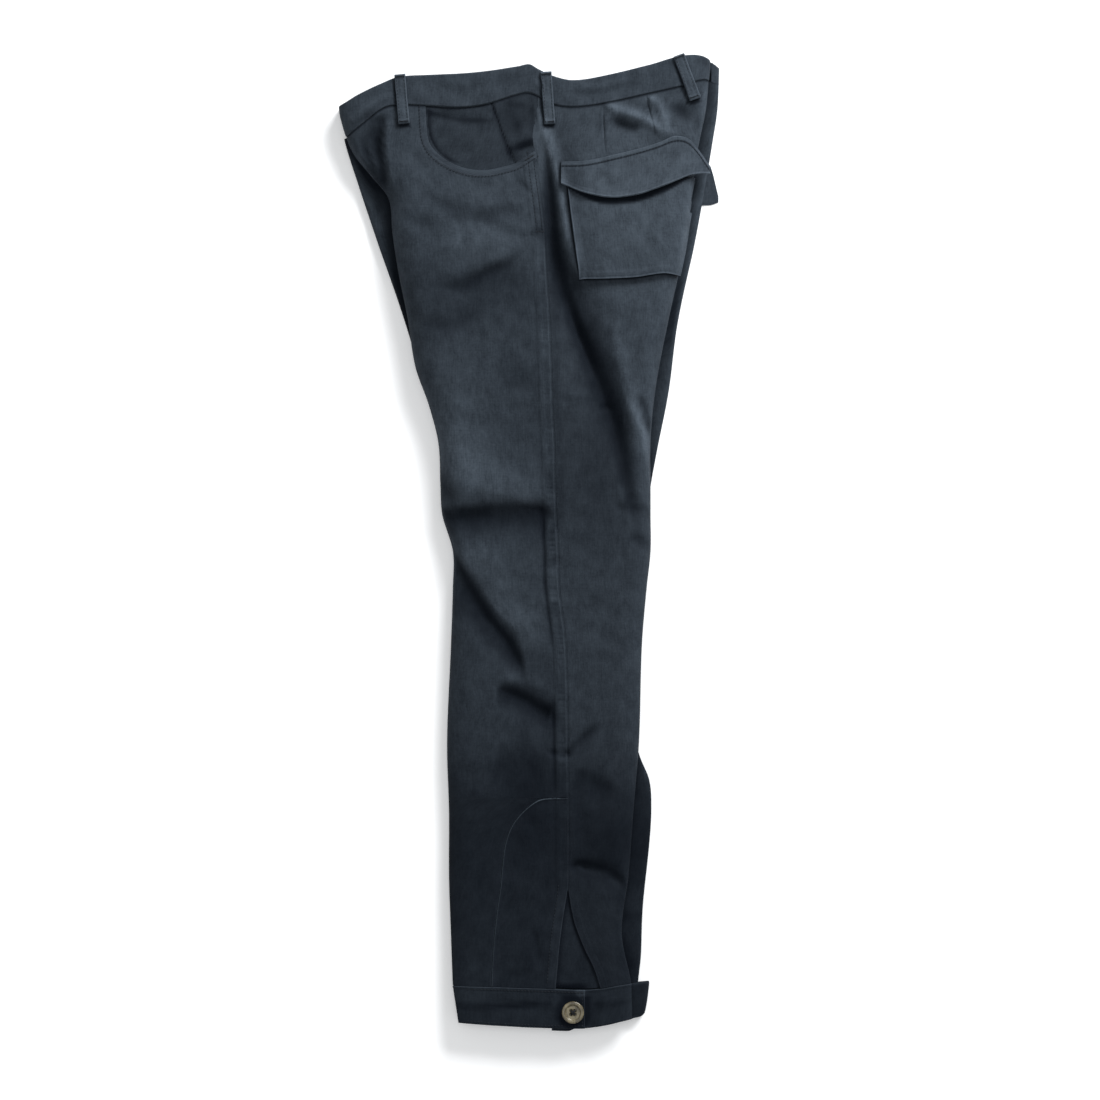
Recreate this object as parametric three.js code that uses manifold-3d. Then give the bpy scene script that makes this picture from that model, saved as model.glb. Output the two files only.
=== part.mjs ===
// Slim chino trousers with patch pockets and buttoned ankle bands, laid flat on their right side.
// Millimetres, +Z up. x runs across the garment from the front fold to the back fold, y runs up from the hem,
// and the cloth lies on the plane z = 0. The left leg lies on the right leg, and its outer side faces up.
import * as THREE from "three";
import { mergeVertices } from "three/addons/utils/BufferGeometryUtils.js";
import Module from "manifold-3d";

const wasm = await Module();
wasm.setup();

// Driving sizes
const CLOTH = 1.0; // one layer of twill
const BAND = 1.4; // waistband and ankle bands, two layers pressed together
const GAP = 0.3; // clearance at every seam and between layers
const SEAM = 0.2; // how far each panel stops short of the line of its side seam and inseam
const HEM = 46; // height of the ankle band's seam, nominal
const WAIST = 950; // height of the waistband's seam, nominal
const CROTCH = 700; // height of the crotch point
const HIP = 720; // the outline starts to follow the slanted waist seam above this
const LOW_ROUND = 5; // width of the turn under a fold edge
const CROWN = 1.6; // how much higher the middle of the upper layer lies than its rounded sides
const BUTTON_RADIUS = 11.5;
const BUTTON_HEIGHT = 3;
const BUTTON_X = 29;
const BUTTON_UP = 19;
const OVERLAP_END = 41.5; // the ankle band's upper end, and its lower end beneath
const UNDERLAP_END = 7;
const LAP = 40; // the waistband's overlap at the centre front

// The left leg, which shows. front and back are the fold edges, side is the side seam, loft is the height of
// the upper layer, and frontTurn and backTurn are how far in from the fold edges it starts to round down.
const LEFT_LEG = [
  { up: 0, front: -94, side: 24, back: 91, loft: 18.6, frontTurn: 20, backTurn: 18 },
  { up: 46, front: -96, side: 24, back: 90, loft: 18.6, frontTurn: 22, backTurn: 20 },
  { up: 100, front: -98, side: 24, back: 80, loft: 18.0, frontTurn: 24, backTurn: 20 },
  { up: 160, front: -100, side: 24, back: 87, loft: 18.5, frontTurn: 26, backTurn: 22 },
  { up: 225, front: -100, side: 24, back: 92, loft: 19.5, frontTurn: 28, backTurn: 24 },
  { up: 300, front: -102, side: 23, back: 98, loft: 21, frontTurn: 30, backTurn: 26 },
  { up: 400, front: -98, side: 21, back: 101, loft: 23, frontTurn: 30, backTurn: 26 },
  { up: 460, front: -96, side: 14, back: 106, loft: 24, frontTurn: 30, backTurn: 26 },
  { up: 498, front: -96, side: 13, back: 110, loft: 25, frontTurn: 28, backTurn: 26 },
  { up: 536, front: -107, side: 11, back: 110, loft: 26, frontTurn: 28, backTurn: 26 },
  { up: 567, front: -109, side: 10, back: 110, loft: 27, frontTurn: 30, backTurn: 26 },
  { up: 610, front: -111, side: 9, back: 110, loft: 28, frontTurn: 32, backTurn: 28 },
  { up: 650, front: -121, side: 7, back: 113, loft: 29, frontTurn: 34, backTurn: 28 },
  { up: 690, front: -135, side: 6, back: 119, loft: 30, frontTurn: 34, backTurn: 28 },
  { up: 740, front: -143, side: 4, back: 129, loft: 30, frontTurn: 34, backTurn: 28 },
  { up: 790, front: -153, side: 1, back: 140, loft: 30, frontTurn: 34, backTurn: 26 },
  { up: 830, front: -159, side: -1, back: 147, loft: 30, frontTurn: 30, backTurn: 24 },
  { up: 865, front: -163, side: -5, back: 151, loft: 29, frontTurn: 32, backTurn: 24 },
  { up: 887, front: -180, side: -8, back: 155, loft: 28, frontTurn: 38, backTurn: 26 },
  { up: 915, front: -201, side: -11, back: 159, loft: 27, frontTurn: 44, backTurn: 30 },
  { up: 930, front: -207, side: -13, back: 162, loft: 26.5, frontTurn: 46, backTurn: 32 },
  { up: 960, front: -214, side: -8, back: 168, loft: 26, frontTurn: 46, backTurn: 34 },
  { up: 1015, front: -214, side: -6, back: 172, loft: 25, frontTurn: 46, backTurn: 34 },
];

// The right leg, underneath. deck is the top of the right leg, on which the left leg lies.
const RIGHT_LEG = [
  { up: 0, front: -86, back: 97, deck: 8.4 },
  { up: 46, front: -86, back: 97, deck: 8.4 },
  { up: 75, front: -88, back: 100, deck: 8.0 },
  { up: 126, front: -90, back: 102, deck: 6.4 },
  { up: 194, front: -90, back: 109, deck: 5.0 },
  { up: 229, front: -90, back: 111, deck: 4.6 },
  { up: 259, front: -90, back: 109, deck: 4.6 },
  { up: 284, front: -90, back: 99, deck: 4.6 },
  { up: 307, front: -90, back: 94, deck: 4.6 },
  { up: 395, front: -88, back: 96, deck: 4.6 },
  { up: 499, front: -86, back: 104, deck: 4.6 },
  { up: 557, front: -95, back: 109, deck: 4.6 },
  { up: 603, front: -105, back: 117, deck: 4.8 },
  { up: 664, front: -124, back: 129, deck: 5.6 },
  { up: 727, front: -143, back: 137, deck: 7.2 },
  { up: 764, front: -155, back: 144, deck: 8.0 },
  { up: 818, front: -174, back: 156, deck: 8.0 },
  { up: 884, front: -196, back: 168, deck: 8.0 },
  { up: 926, front: -209, back: 175, deck: 8.0 },
  { up: 960, front: -214, back: 180, deck: 8.0 },
  { up: 1015, front: -214, back: 182, deck: 8.0 },
];

// How far the hidden inner layers reach in from the left leg's fold edges above the crotch, where the two
// halves are sewn together along the rise.
const RISE = [
  { up: 700, front: 124, back: 112 },
  { up: 712, front: 92, back: 104 },
  { up: 735, front: 52, back: 84 },
  { up: 765, front: 28, back: 58 },
  { up: 800, front: 16, back: 36 },
  { up: 850, front: 9, back: 20 },
  { up: 900, front: 8, back: 11 },
  { up: 1015, front: 8, back: 9 },
];

// The seam of the waistband, its upper edge, and the seam and lower edge of the ankle band.
const WAIST_LINE = [
  { x: -214, seam: 928, top: 961 },
  { x: -207, seam: 929, top: 964.5 },
  { x: -192, seam: 940, top: 973 },
  { x: -168, seam: 957.5, top: 984 },
  { x: -152, seam: 961, top: 990 },
  { x: -120, seam: 960, top: 992 },
  { x: -87, seam: 958.5, top: 993.5 },
  { x: -60, seam: 962, top: 996 },
  { x: -28, seam: 972, top: 1001 },
  { x: -16, seam: 973.5, top: 1003 },
  { x: -7, seam: 970, top: 998 },
  { x: 8, seam: 962, top: 991 },
  { x: 29, seam: 959, top: 986.5 },
  { x: 60, seam: 962.5, top: 991 },
  { x: 108, seam: 973, top: 1002.5 },
  { x: 142, seam: 981, top: 1012 },
  { x: 165, seam: 988, top: 1012 },
  { x: 182, seam: 984, top: 1001 },
];
const ANKLE_LINE = [
  { x: -96, seam: 46, hem: 8 },
  { x: -52, seam: 45, hem: 5 },
  { x: 0, seam: 43.5, hem: 2.5 },
  { x: 40, seam: 42, hem: 2 },
  { x: 62, seam: 44, hem: 5 },
  { x: 80, seam: 47, hem: 9 },
  { x: 110, seam: 50, hem: 15 },
];

// Vent at the foot of the side seam: the pressed edges of the front and the back open over a gusset.
const VENT = [
  { up: 42, front: 11, back: 58 },
  { up: 64, front: 13, back: 51 },
  { up: 87, front: 15, back: 40 },
  { up: 114, front: 18.5, back: 30 },
  { up: 146, front: 23.5, back: 24 },
];

// The largest folds of the upper layer: ridges have a positive height, troughs a negative one. before and
// after are the widths on the left and on the right of the line from its start to its end.
const FOLDS = [
  { name: "hip trough", x0: 5, up0: 932, x1: 12, up1: 768, before: 20, after: 14, height: -6.5 },
  { name: "seat trough", x0: 12, up0: 800, x1: 80, up1: 590, before: 24, after: 17, height: -6 },
  { name: "hip ridge", x0: -14, up0: 940, x1: 26, up1: 800, before: 14, after: 14, height: 3.5 },
  { name: "knee ridge", x0: -108, up0: 568, x1: 0, up1: 556, before: 26, after: 28, height: 4.5 },
  { name: "knee trough", x0: -100, up0: 528, x1: 12, up1: 534, before: 20, after: 18, height: -4.5 },
  { name: "knee fold", x0: -92, up0: 498, x1: -8, up1: 356, before: 22, after: 16, height: -4.5 },
  { name: "shin trough", x0: -40, up0: 352, x1: 14, up1: 318, before: 18, after: 16, height: -3.5 },
  { name: "fly trough", x0: -184, up0: 940, x1: -166, up1: 860, before: 16, after: 14, height: -3.5 },
  { name: "thigh ridge", x0: -110, up0: 812, x1: -30, up1: 824, before: 20, after: 20, height: 2.5 },
  { name: "thigh trough", x0: -96, up0: 770, x1: -20, up1: 786, before: 20, after: 18, height: -3 },
  { name: "calf trough", x0: 30, up0: 172, x1: 84, up1: 158, before: 18, after: 18, height: -3 },
  { name: "seat ridge", x0: 86, up0: 642, x1: 104, up1: 596, before: 13, after: 13, height: 3 },
];

// The front pocket's mouth, from the waist seam round to the side seam.
const SCOOP = [
  [-124, 966], [-123, 940], [-120, 922], [-110, 909], [-94, 899], [-78, 894], [-62, 893], [-47, 895.5],
  [-31, 900], [-21, 906], [-11, 912.5], [2, 911], [2, 985], [-70, 985],
];
// Back pocket, and the curved shin panel.
const POCKET = [
  [22, 886], [26, 850], [31, 812], [37, 780], [71, 780.5], [96, 782], [122, 786], [137, 784.5], [150, 850],
  [157, 886],
];
const SHIN = [
  [23, 242], [0, 241], [-9, 238], [-22, 228], [-34, 213], [-41, 194], [-44, 172], [-46, 150], [-50, 122],
  [-54, 80], [-56, 30], [40, 30], [40, 242],
];

// Back pocket's flap: its sewn edge and its free edge. It reaches past the back fold.
const FLAP = [
  { x: 17, top: 902, bottom: 879 },
  { x: 41, top: 902.5, bottom: 869 },
  { x: 68, top: 908, bottom: 864 },
  { x: 96, top: 915, bottom: 867 },
  { x: 116, top: 921, bottom: 873.5 },
  { x: 135, top: 928, bottom: 881 },
  { x: 149, top: 925.5, bottom: 887 },
  { x: 160, top: 914, bottom: 889.5 },
  { x: 172, top: 897, bottom: 890 },
];

// Pieces of the right side, which lie on the floor.
const RIGHT_POCKET = [[24, 884], [37, 780], [71, 780.5], [110, 784], [137, 786], [150, 852], [157, 884]];
const RIGHT_FLAP = [
  [22, 904], [96, 909], [150, 909], [172, 901], [177, 884], [181, 868], [179, 863], [163, 857], [130, 863],
  [96, 868], [60, 868], [26, 876],
];

// Belt loops of the left side: the middle of the upper and lower end.
const LOOP_WIDTH = 11.5;
const LOOPS = [
  { name: "front", x0: -150.5, up0: 992.5, x1: -146, up1: 941 },
  { name: "side", x0: 1, up0: 995, x1: 5, up1: 940.5 },
  { name: "back", x0: 138.5, up0: 1012.5, x1: 155.5, up1: 967 },
];

// One value of a table at a place, on a smooth cubic through its rows.
function along(table, key, column, at) {
  const n = table.length - 1;
  if (at <= table[0][key]) return table[0][column];
  if (at >= table[n][key]) return table[n][column];
  let k = 0;
  while (at > table[k + 1][key]) k++;
  const slope = (a, b) => (table[b][column] - table[a][column]) / (table[b][key] - table[a][key]);
  const span = table[k + 1][key] - table[k][key];
  const t = (at - table[k][key]) / span;
  const m0 = slope(Math.max(0, k - 1), k + 1) * span;
  const m1 = slope(k, Math.min(n, k + 2)) * span;
  const t2 = t * t;
  const t3 = t2 * t;
  return (
    (2 * t3 - 3 * t2 + 1) * table[k][column] +
    (t3 - 2 * t2 + t) * m0 +
    (3 * t2 - 2 * t3) * table[k + 1][column] +
    (t3 - t2) * m1
  );
}
const left = (column, up) => along(LEFT_LEG, "up", column, up);
const right = (column, up) => along(RIGHT_LEG, "up", column, up);
const waistLine = (column, x) => along(WAIST_LINE, "x", column, x);
const ankleLine = (column, x) => along(ANKLE_LINE, "x", column, x);

// From 0 to 1, smoothly, as v goes from a to b.
function ease(a, b, v) {
  const t = Math.min(1, Math.max(0, (v - a) / (b - a)));
  return t * t * (3 - 2 * t);
}

// A quarter of an ellipse: 0 at a fold edge, 1 from one turn width in.
function turn(distance, width) {
  const t = Math.min(1, Math.max(0, distance / width));
  return Math.sqrt(1 - (1 - t) * (1 - t));
}

// Height that the folds add to the upper layer.
function folds(x, up) {
  let sum = 0;
  for (const f of FOLDS) {
    const dx = f.x1 - f.x0;
    const dy = f.up1 - f.up0;
    const length = Math.hypot(dx, dy);
    const t = ((x - f.x0) * dx + (up - f.up0) * dy) / (length * length);
    const aside = ((up - f.up0) * dx - (x - f.x0) * dy) / length;
    const width = aside > 0 ? f.before : f.after;
    const taper = ease(-0.12, 0.25, t) * ease(1.12, 0.75, t);
    sum += f.height * taper * Math.exp(-((aside / width) ** 2));
  }
  return sum;
}

// Height of the outer face of the left leg's upper layer.
function upperFace(x, up) {
  const front = left("front", up);
  const back = left("back", up);
  const edge = right("deck", up) + GAP + 3.5;
  const rise = turn(x - front, left("frontTurn", up)) * turn(back - x, left("backTurn", up));
  const inside = ease(0, 26, x - front) * ease(0, 22, back - x);
  const across = Math.min(1, Math.max(-1, (2 * x - front - back) / (back - front)));
  const crown = CROWN * (1 - across * across);
  return edge + (left("loft", up) - edge) * rise + crown + folds(x, up) * inside;
}

// How far the floor side is lifted, to lie over the pocket, the flap, the belt loops and the ankle's button.
function lift(x, up) {
  const back = 1.3 * ease(-22, -2, x);
  const pocket = back * ease(745, 765, up) * ease(930, 914, up);
  const flap = back * ease(822, 842, up) * ease(920, 904, up);
  const loops = 1.7 * ease(885, 925, up);
  const button = 3.3 * ease(62, 18, Math.hypot(x - BUTTON_X, 0.8 * (up - BUTTON_UP)));
  return Math.max(pocket + flap, loops, button);
}

// A row's height on the piece, which follows the slanted waist seam and the ankle seam at its ends.
function rowHeight(x, nominal) {
  const clear = GAP * (1 + 1.5 * ease(-196, -205, x));
  const atWaist = (waistLine("seam", x) - clear - WAIST) * ease(HIP, WAIST, nominal);
  const atAnkle = (ankleLine("seam", x) + 1.5 * GAP - HEM) * ease(HEM + 70, HEM, nominal);
  return nominal + atWaist + atAnkle;
}

// The place of an edge that a table gives by true height, on a row given by nominal height.
function onRow(edge, nominal) {
  let x = edge(nominal);
  for (let k = 0; k < 4; k++) x = edge(rowHeight(x, nominal));
  return x;
}

const spread = (a, b, n) => Array.from({ length: n + 1 }, (_, i) => a + ((b - a) * i) / n);
const rowsOf = (leg, hip) => [...spread(HEM, HIP, leg), ...spread(HIP, WAIST, hip).slice(1)];

// Points of one panel's outer face: each row runs from the side seam over the fold edge to the inner edge.
function leftPanelPoints(part) {
  const dir = part === "front" ? -1 : 1;
  return rowsOf(25, 16).map((nominal) => {
    const edge = onRow((up) => left(part, up), nominal);
    const seam = onRow((up) => {
      const vent = up < VENT[VENT.length - 1].up;
      return (vent ? along(VENT, "up", part, up) : left("side", up)) + dir * SEAM;
    }, nominal);
    const edgeUp = rowHeight(edge, nominal);
    const width = left(part + "Turn", edgeUp);
    const low = right("deck", edgeUp) + GAP;
    const points = [];
    for (const t of spread(0, 1, 9)) points.push([seam + (edge - dir * width - seam) * t, null]);
    for (const a of [68, 46, 27, 10]) {
      const c = Math.cos((a * Math.PI) / 180);
      points.push([edge - dir * width * (1 - c), null]);
    }
    const inner = innerEdge(part, nominal);
    for (const a of [0, 50, 90]) {
      const c = Math.cos((a * Math.PI) / 180);
      const s = Math.sin((a * Math.PI) / 180);
      points.push([edge - dir * LOW_ROUND * (1 - c), low + 3.5 * (1 - s)]);
    }
    const from = edge - dir * LOW_ROUND;
    for (const t of [0.5, 1]) points.push([from + (inner - from) * t, low]);
    return points.map(([x, z]) => {
      const up = rowHeight(x, nominal);
      return z === null ? pointOn(upperFace, x, up) : new THREE.Vector3(x, up, z);
    });
  });
}

// Where a panel's hidden inner layer ends: at the inseam, and above the crotch at the rise seam.
function innerEdge(part, nominal) {
  const dir = part === "front" ? -1 : 1;
  const edge = onRow((up) => left(part, up), nominal);
  const up = rowHeight(edge, nominal);
  const inseam = (left("front", up) + left("back", up)) / 2 + dir * SEAM;
  if (up <= CROTCH) return inseam;
  const rise = edge - dir * along(RISE, "up", part, up);
  return dir < 0 ? Math.min(inseam, rise) : Math.max(inseam, rise);
}

// The right leg's panels: each row runs from the inner edge over the fold edge to the side seam on the floor.
function rightPanelPoints(part) {
  const dir = part === "front" ? -1 : 1;
  return rowsOf(15, 15).map((nominal) => {
    const edge = onRow((up) => right(part, up), nominal);
    const deck = right("deck", rowHeight(edge, nominal));
    const seam = onRow((up) => left("side", up) + dir * SEAM, nominal);
    const inner = innerEdge(part, nominal);
    const floor = lift(edge - dir * LOW_ROUND, rowHeight(edge, nominal));
    const middle = (deck + floor) / 2;
    const half = (deck - floor) / 2;
    const from = edge - dir * LOW_ROUND;
    const points = [[inner, deck], [(inner + from) / 2, deck]];
    for (const a of [90, 45, 0, -45]) {
      const c = Math.cos((a * Math.PI) / 180);
      const s = Math.sin((a * Math.PI) / 180);
      points.push([from + dir * LOW_ROUND * c, middle + half * s]);
    }
    for (const t of spread(0, 1, 7)) points.push([from + (seam - from) * t, null]);
    return points.map(([x, z]) => {
      const up = rowHeight(x, nominal);
      return z === null ? pointOn(lift, x, up, true) : new THREE.Vector3(x, up, z);
    });
  });
}

// Unit normal of a surface given as a height, on its upper side.
function upperNormal(face, x, up) {
  const e = 0.05;
  const dx = (face(x + e, up) - face(x - e, up)) / (2 * e);
  const dy = (face(x, up + e) - face(x, up - e)) / (2 * e);
  return new THREE.Vector3(-dx, -dy, 1).normalize();
}

// Outward unit normals of a grid of points, turned to the side that `sense` gives.
function normalsOf(points, sense) {
  const rows = points.length;
  const columns = points[0].length;
  return points.map((row, i) =>
    row.map((p, j) => {
      if (p.onFace) return upperNormal(p.onFace, p.x, p.y).multiplyScalar(p.facesDown ? -1 : 1);
      const above = points[Math.min(rows - 1, i + 1)][j];
      const below = points[Math.max(0, i - 1)][j];
      const a = new THREE.Vector3().subVectors(above, below);
      const b = new THREE.Vector3().subVectors(row[Math.min(columns - 1, j + 1)], row[Math.max(0, j - 1)]);
      return a.cross(b).multiplyScalar(sense).normalize();
    }),
  );
}

// A point on a surface given as a height; its normal is the surface's own.
function pointOn(face, x, up, facesDown = false) {
  const p = new THREE.Vector3(x, up, face(x, up));
  p.onFace = face;
  p.facesDown = facesDown;
  return p;
}

const moved = (points, normals, by) =>
  points.map((row, i) =>
    row.map((p, j) => p.clone().addScaledVector(normals[i][j], by instanceof Function ? by(p, i) : by)),
  );

// A closed wall between two grids of points: outer faces outwards, inner is its other face.
function wall(outer, inner, sense) {
  const rows = outer.length;
  const columns = outer[0].length;
  const position = [];
  for (const p of [...outer.flat(), ...inner.flat()]) position.push(p.x, p.y, p.z);
  const at = (side, i, j) => side * rows * columns + i * columns + j;
  const index = [];
  const quad = (a, b, c, d) => (sense > 0 ? index.push(a, b, c, a, c, d) : index.push(a, c, b, a, d, c));
  for (let i = 0; i < rows - 1; i++)
    for (let j = 0; j < columns - 1; j++) {
      quad(at(0, i, j), at(0, i + 1, j), at(0, i + 1, j + 1), at(0, i, j + 1));
      quad(at(1, i, j), at(1, i, j + 1), at(1, i + 1, j + 1), at(1, i + 1, j));
    }
  for (let i = 0; i < rows - 1; i++) {
    quad(at(0, i, 0), at(1, i, 0), at(1, i + 1, 0), at(0, i + 1, 0));
    quad(at(0, i, columns - 1), at(0, i + 1, columns - 1), at(1, i + 1, columns - 1), at(1, i, columns - 1));
  }
  for (let j = 0; j < columns - 1; j++) {
    quad(at(0, 0, j), at(0, 0, j + 1), at(1, 0, j + 1), at(1, 0, j));
    quad(at(0, rows - 1, j), at(1, rows - 1, j), at(1, rows - 1, j + 1), at(0, rows - 1, j + 1));
  }
  const geometry = new THREE.BufferGeometry();
  geometry.setAttribute("position", new THREE.Float32BufferAttribute(position, 3));
  geometry.setIndex(index);
  return geometry;
}

// The layer between two distances out from a grid of points.
function layer(points, sense, from, to) {
  const normals = normalsOf(points, sense);
  return wall(moved(points, normals, to), moved(points, normals, from), sense);
}

function solid(geometry) {
  const bare = geometry.index ? geometry.toNonIndexed() : geometry.clone();
  const clean = new THREE.BufferGeometry().setAttribute("position", bare.getAttribute("position"));
  const merged = mergeVertices(clean, 1e-4);
  return new wasm.Manifold(
    new wasm.Mesh({
      numProp: 3,
      vertProperties: merged.attributes.position.array,
      triVerts: new Uint32Array(merged.index.array),
    }),
  );
}

function geometryOf(manifold) {
  const mesh = manifold.getMesh();
  const geometry = new THREE.BufferGeometry();
  geometry.setAttribute("position", new THREE.BufferAttribute(Float32Array.from(mesh.vertProperties), 3));
  geometry.setIndex(new THREE.BufferAttribute(Uint32Array.from(mesh.triVerts), 1));
  return geometry;
}

// An upright block with the given outline, between two heights. The upper one may depend on the place.
function block(outline, low, high) {
  const shape = new THREE.Shape(outline.map(([x, y]) => new THREE.Vector2(x, y)));
  const geometry = new THREE.ExtrudeGeometry(shape, { depth: 1, bevelEnabled: false });
  const position = geometry.getAttribute("position");
  for (let k = 0; k < position.count; k++) {
    const top = typeof high === "function" ? high(position.getX(k), position.getY(k)) : high;
    position.setZ(k, position.getZ(k) > 0.5 ? top : low);
  }
  return geometry;
}

// An outline moved outwards by a distance, corner by corner.
function grown(outline, by) {
  const n = outline.length;
  const at = (k) => new THREE.Vector2(...outline[(k + n) % n]);
  const sense = Math.sign(THREE.ShapeUtils.area(outline.map(([x, y]) => new THREE.Vector2(x, y))));
  return outline.map((_, k) => {
    const a = at(k).sub(at(k - 1)).normalize();
    const b = at(k + 1).sub(at(k)).normalize();
    const out = new THREE.Vector2(a.y + b.y, -a.x - b.x).multiplyScalar(sense).normalize();
    const cos = Math.max(0.5, out.x * a.y * sense - out.y * a.x * sense);
    const p = at(k).addScaledVector(out, by / cos);
    return [p.x, p.y];
  });
}

const twill = new THREE.MeshStandardMaterial({ color: 0x39424b, roughness: 0.85, metalness: 0 });
const horn = new THREE.MeshStandardMaterial({ color: 0x7a6f55, roughness: 0.35, metalness: 0 });
const garment = new THREE.Group();

function add(name, geometry, material = twill) {
  geometry.computeVertexNormals();
  const mesh = new THREE.Mesh(geometry, material);
  mesh.name = name;
  garment.add(mesh);
  return mesh;
}

const OVER = [12, 60]; // heights that hold only the left leg's upper layer
const UNDER = [-5, (x, up) => (lift(x, up) + right("deck", up)) / 2]; // and only the layer on the floor
const leftFront = leftPanelPoints("front");
const leftBack = leftPanelPoints("back");
const rightFront = rightPanelPoints("front");
const rightBack = rightPanelPoints("back");
const FRONT_SENSE = 1; // which way round a panel's rows run
const BACK_SENSE = -1;

// A front panel, with the pocket's mouth cut out over its facing, and the shin panel let in.
function addFront(side, points, heights) {
  const front = solid(layer(points, FRONT_SENSE, -CLOTH, 0));
  const mouth = solid(block(SCOOP, ...heights));
  const shin = solid(block(SHIN, ...heights));
  const shinSeam = solid(block(grown(SHIN, GAP), ...heights));
  add(`${side}_front`, geometryOf(front.subtract(mouth).subtract(shinSeam)));
  add(`${side}_shin_panel`, geometryOf(front.intersect(shin)));
  const facing = solid(layer(points, FRONT_SENSE, -2 * CLOTH - GAP, -CLOTH - GAP));
  const behind = solid(block(grown(SCOOP, 8), ...heights));
  add(`${side}_pocket_facing`, geometryOf(facing.intersect(behind)));
}

// A back pocket, lying on its panel.
function addPocket(side, points, outline, heights) {
  const cloth = solid(layer(points, BACK_SENSE, GAP, GAP + CLOTH));
  add(`${side}_back_pocket`, geometryOf(cloth.intersect(solid(block(outline, ...heights)))));
}

// The places across of a panel's points on its first or last row, those on the outward face only.
const columnsOf = (row) => row.filter((p) => p.onFace).map((p) => p.x);

// Waistband of the left half: from the centre back seam over the upper side, round the front fold, and on
// under the right half by the overlap at the centre front. Its columns are those of the panels below it.
function leftWaistband() {
  const backs = columnsOf(leftBack[leftBack.length - 1]).reverse();
  const fronts = columnsOf(leftFront[leftFront.length - 1]);
  const points = spread(0, 1, 3).map((v) => {
    const level = (x) => waistLine("seam", x) + (waistLine("top", x) - waistLine("seam", x)) * v;
    const row = [];
    const put = (x, z) => row.push(new THREE.Vector3(x, level(x), z));
    const back = left("back", level(170));
    const front = left("front", level(-210));
    const backShift = back - left("back", waistLine("seam", 170));
    const frontShift = front - left("front", waistLine("seam", -207));
    const wider = (x) => x + backShift * ease(100, 160, x) + frontShift * ease(-150, -190, x);
    const low = right("deck", WAIST) + GAP;
    for (const x of [back - 8, back - LOW_ROUND]) put(x, low);
    put(back - 1.2, low + 1.2);
    put(back, low + 3.5);
    for (const x of [...backs, ...fronts]) row.push(pointOn(upperFace, wider(x), level(wider(x))));
    put(front, 9);
    put(front, 4);
    put(front + 1.4, 1.1);
    for (const x of [front + LOW_ROUND, front + LOW_ROUND + 12, front + LAP]) put(x, 0);
    return row;
  });
  return layer(points, FRONT_SENSE, 0.2 - BAND, (p) => (p.z > 12 ? 0.2 : 0));
}

// Waistband of the right half: from the centre back seam round the back fold and over the floor to the front.
function rightWaistband() {
  const backs = columnsOf(rightBack[rightBack.length - 1]);
  const fronts = columnsOf(rightFront[rightFront.length - 1]).reverse();
  const points = spread(0, 1, 3).map((v) => {
    const level = (x) => waistLine("seam", x) + (waistLine("top", x) - waistLine("seam", x)) * v;
    const row = [];
    const put = (x, z) => row.push(new THREE.Vector3(x, level(x), z));
    const back = right("back", level(178));
    const front = left("front", level(-210)) + 4.8;
    const deck = right("deck", WAIST);
    const floor = lift(back, WAIST);
    const from = back - LOW_ROUND;
    for (const x of [back - 8, from]) put(x, deck);
    for (const a of [45, 0, -45]) {
      const angle = (a * Math.PI) / 180;
      put(from + LOW_ROUND * Math.cos(angle), (deck + floor) / 2 + ((deck - floor) / 2) * Math.sin(angle));
    }
    put(from, floor);
    for (const x of [...backs.slice(1), ...fronts.slice(0, -1)]) if (x > front + 3) put(x, floor);
    put(front, floor);
    return row;
  });
  return layer(points, BACK_SENSE, -BAND, 0);
}

// Ankle band of the left leg: from its upper end, which carries the button, round the front fold, under the
// leg, round the back fold and on to its lower end beneath the upper one.
function leftAnkleBand() {
  const fronts = columnsOf(leftFront[0]);
  const backs = columnsOf(leftBack[0]).reverse();
  const points = spread(0, 1, 3).map((v) => {
    const level = (x) => ankleLine("hem", x) + (ankleLine("seam", x) - ankleLine("hem", x)) * v;
    const row = [];
    const put = (x, z) => row.push(new THREE.Vector3(x, level(x), z));
    const front = left("front", HEM) + 6 * (1 - v);
    const back = left("back", HEM) + 1 - v;
    const low = right("deck", HEM) + GAP;
    const inner = (left("front", HEM) + left("back", HEM)) / 2;
    const face = (x, up) => upperFace(Math.min(Math.max(x, front + 0.3), back - 0.3), up) + 0.2;
    const under = (x, up) => face(x, up) - 1.75 * ease(62, 46, x);
    const wider = (x) => x + 6 * (1 - v) * ease(-40, -90, x);
    for (const x of [OVERLAP_END, 34, 26, 18, ...fronts]) row.push(pointOn(face, wider(x), level(wider(x))));
    put(front, low + 3.5);
    put(front + 1.2, low + 1.2);
    for (const t of [0, 0.5, 1]) put(front + LOW_ROUND + (inner - front - LOW_ROUND) * t, low);
    for (const t of [0.5, 1]) put(inner + (back - LOW_ROUND - inner) * t, low);
    put(back - 1.2, low + 1.2);
    put(back, low + 3.5);
    for (const x of backs) row.push(pointOn(under, x, level(x)));
    for (const x of [54, 50, 46, 33, 20, UNDERLAP_END]) row.push(pointOn(under, x, level(x)));
    return row;
  });
  return layer(points, FRONT_SENSE, -BAND, 0);
}

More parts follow.
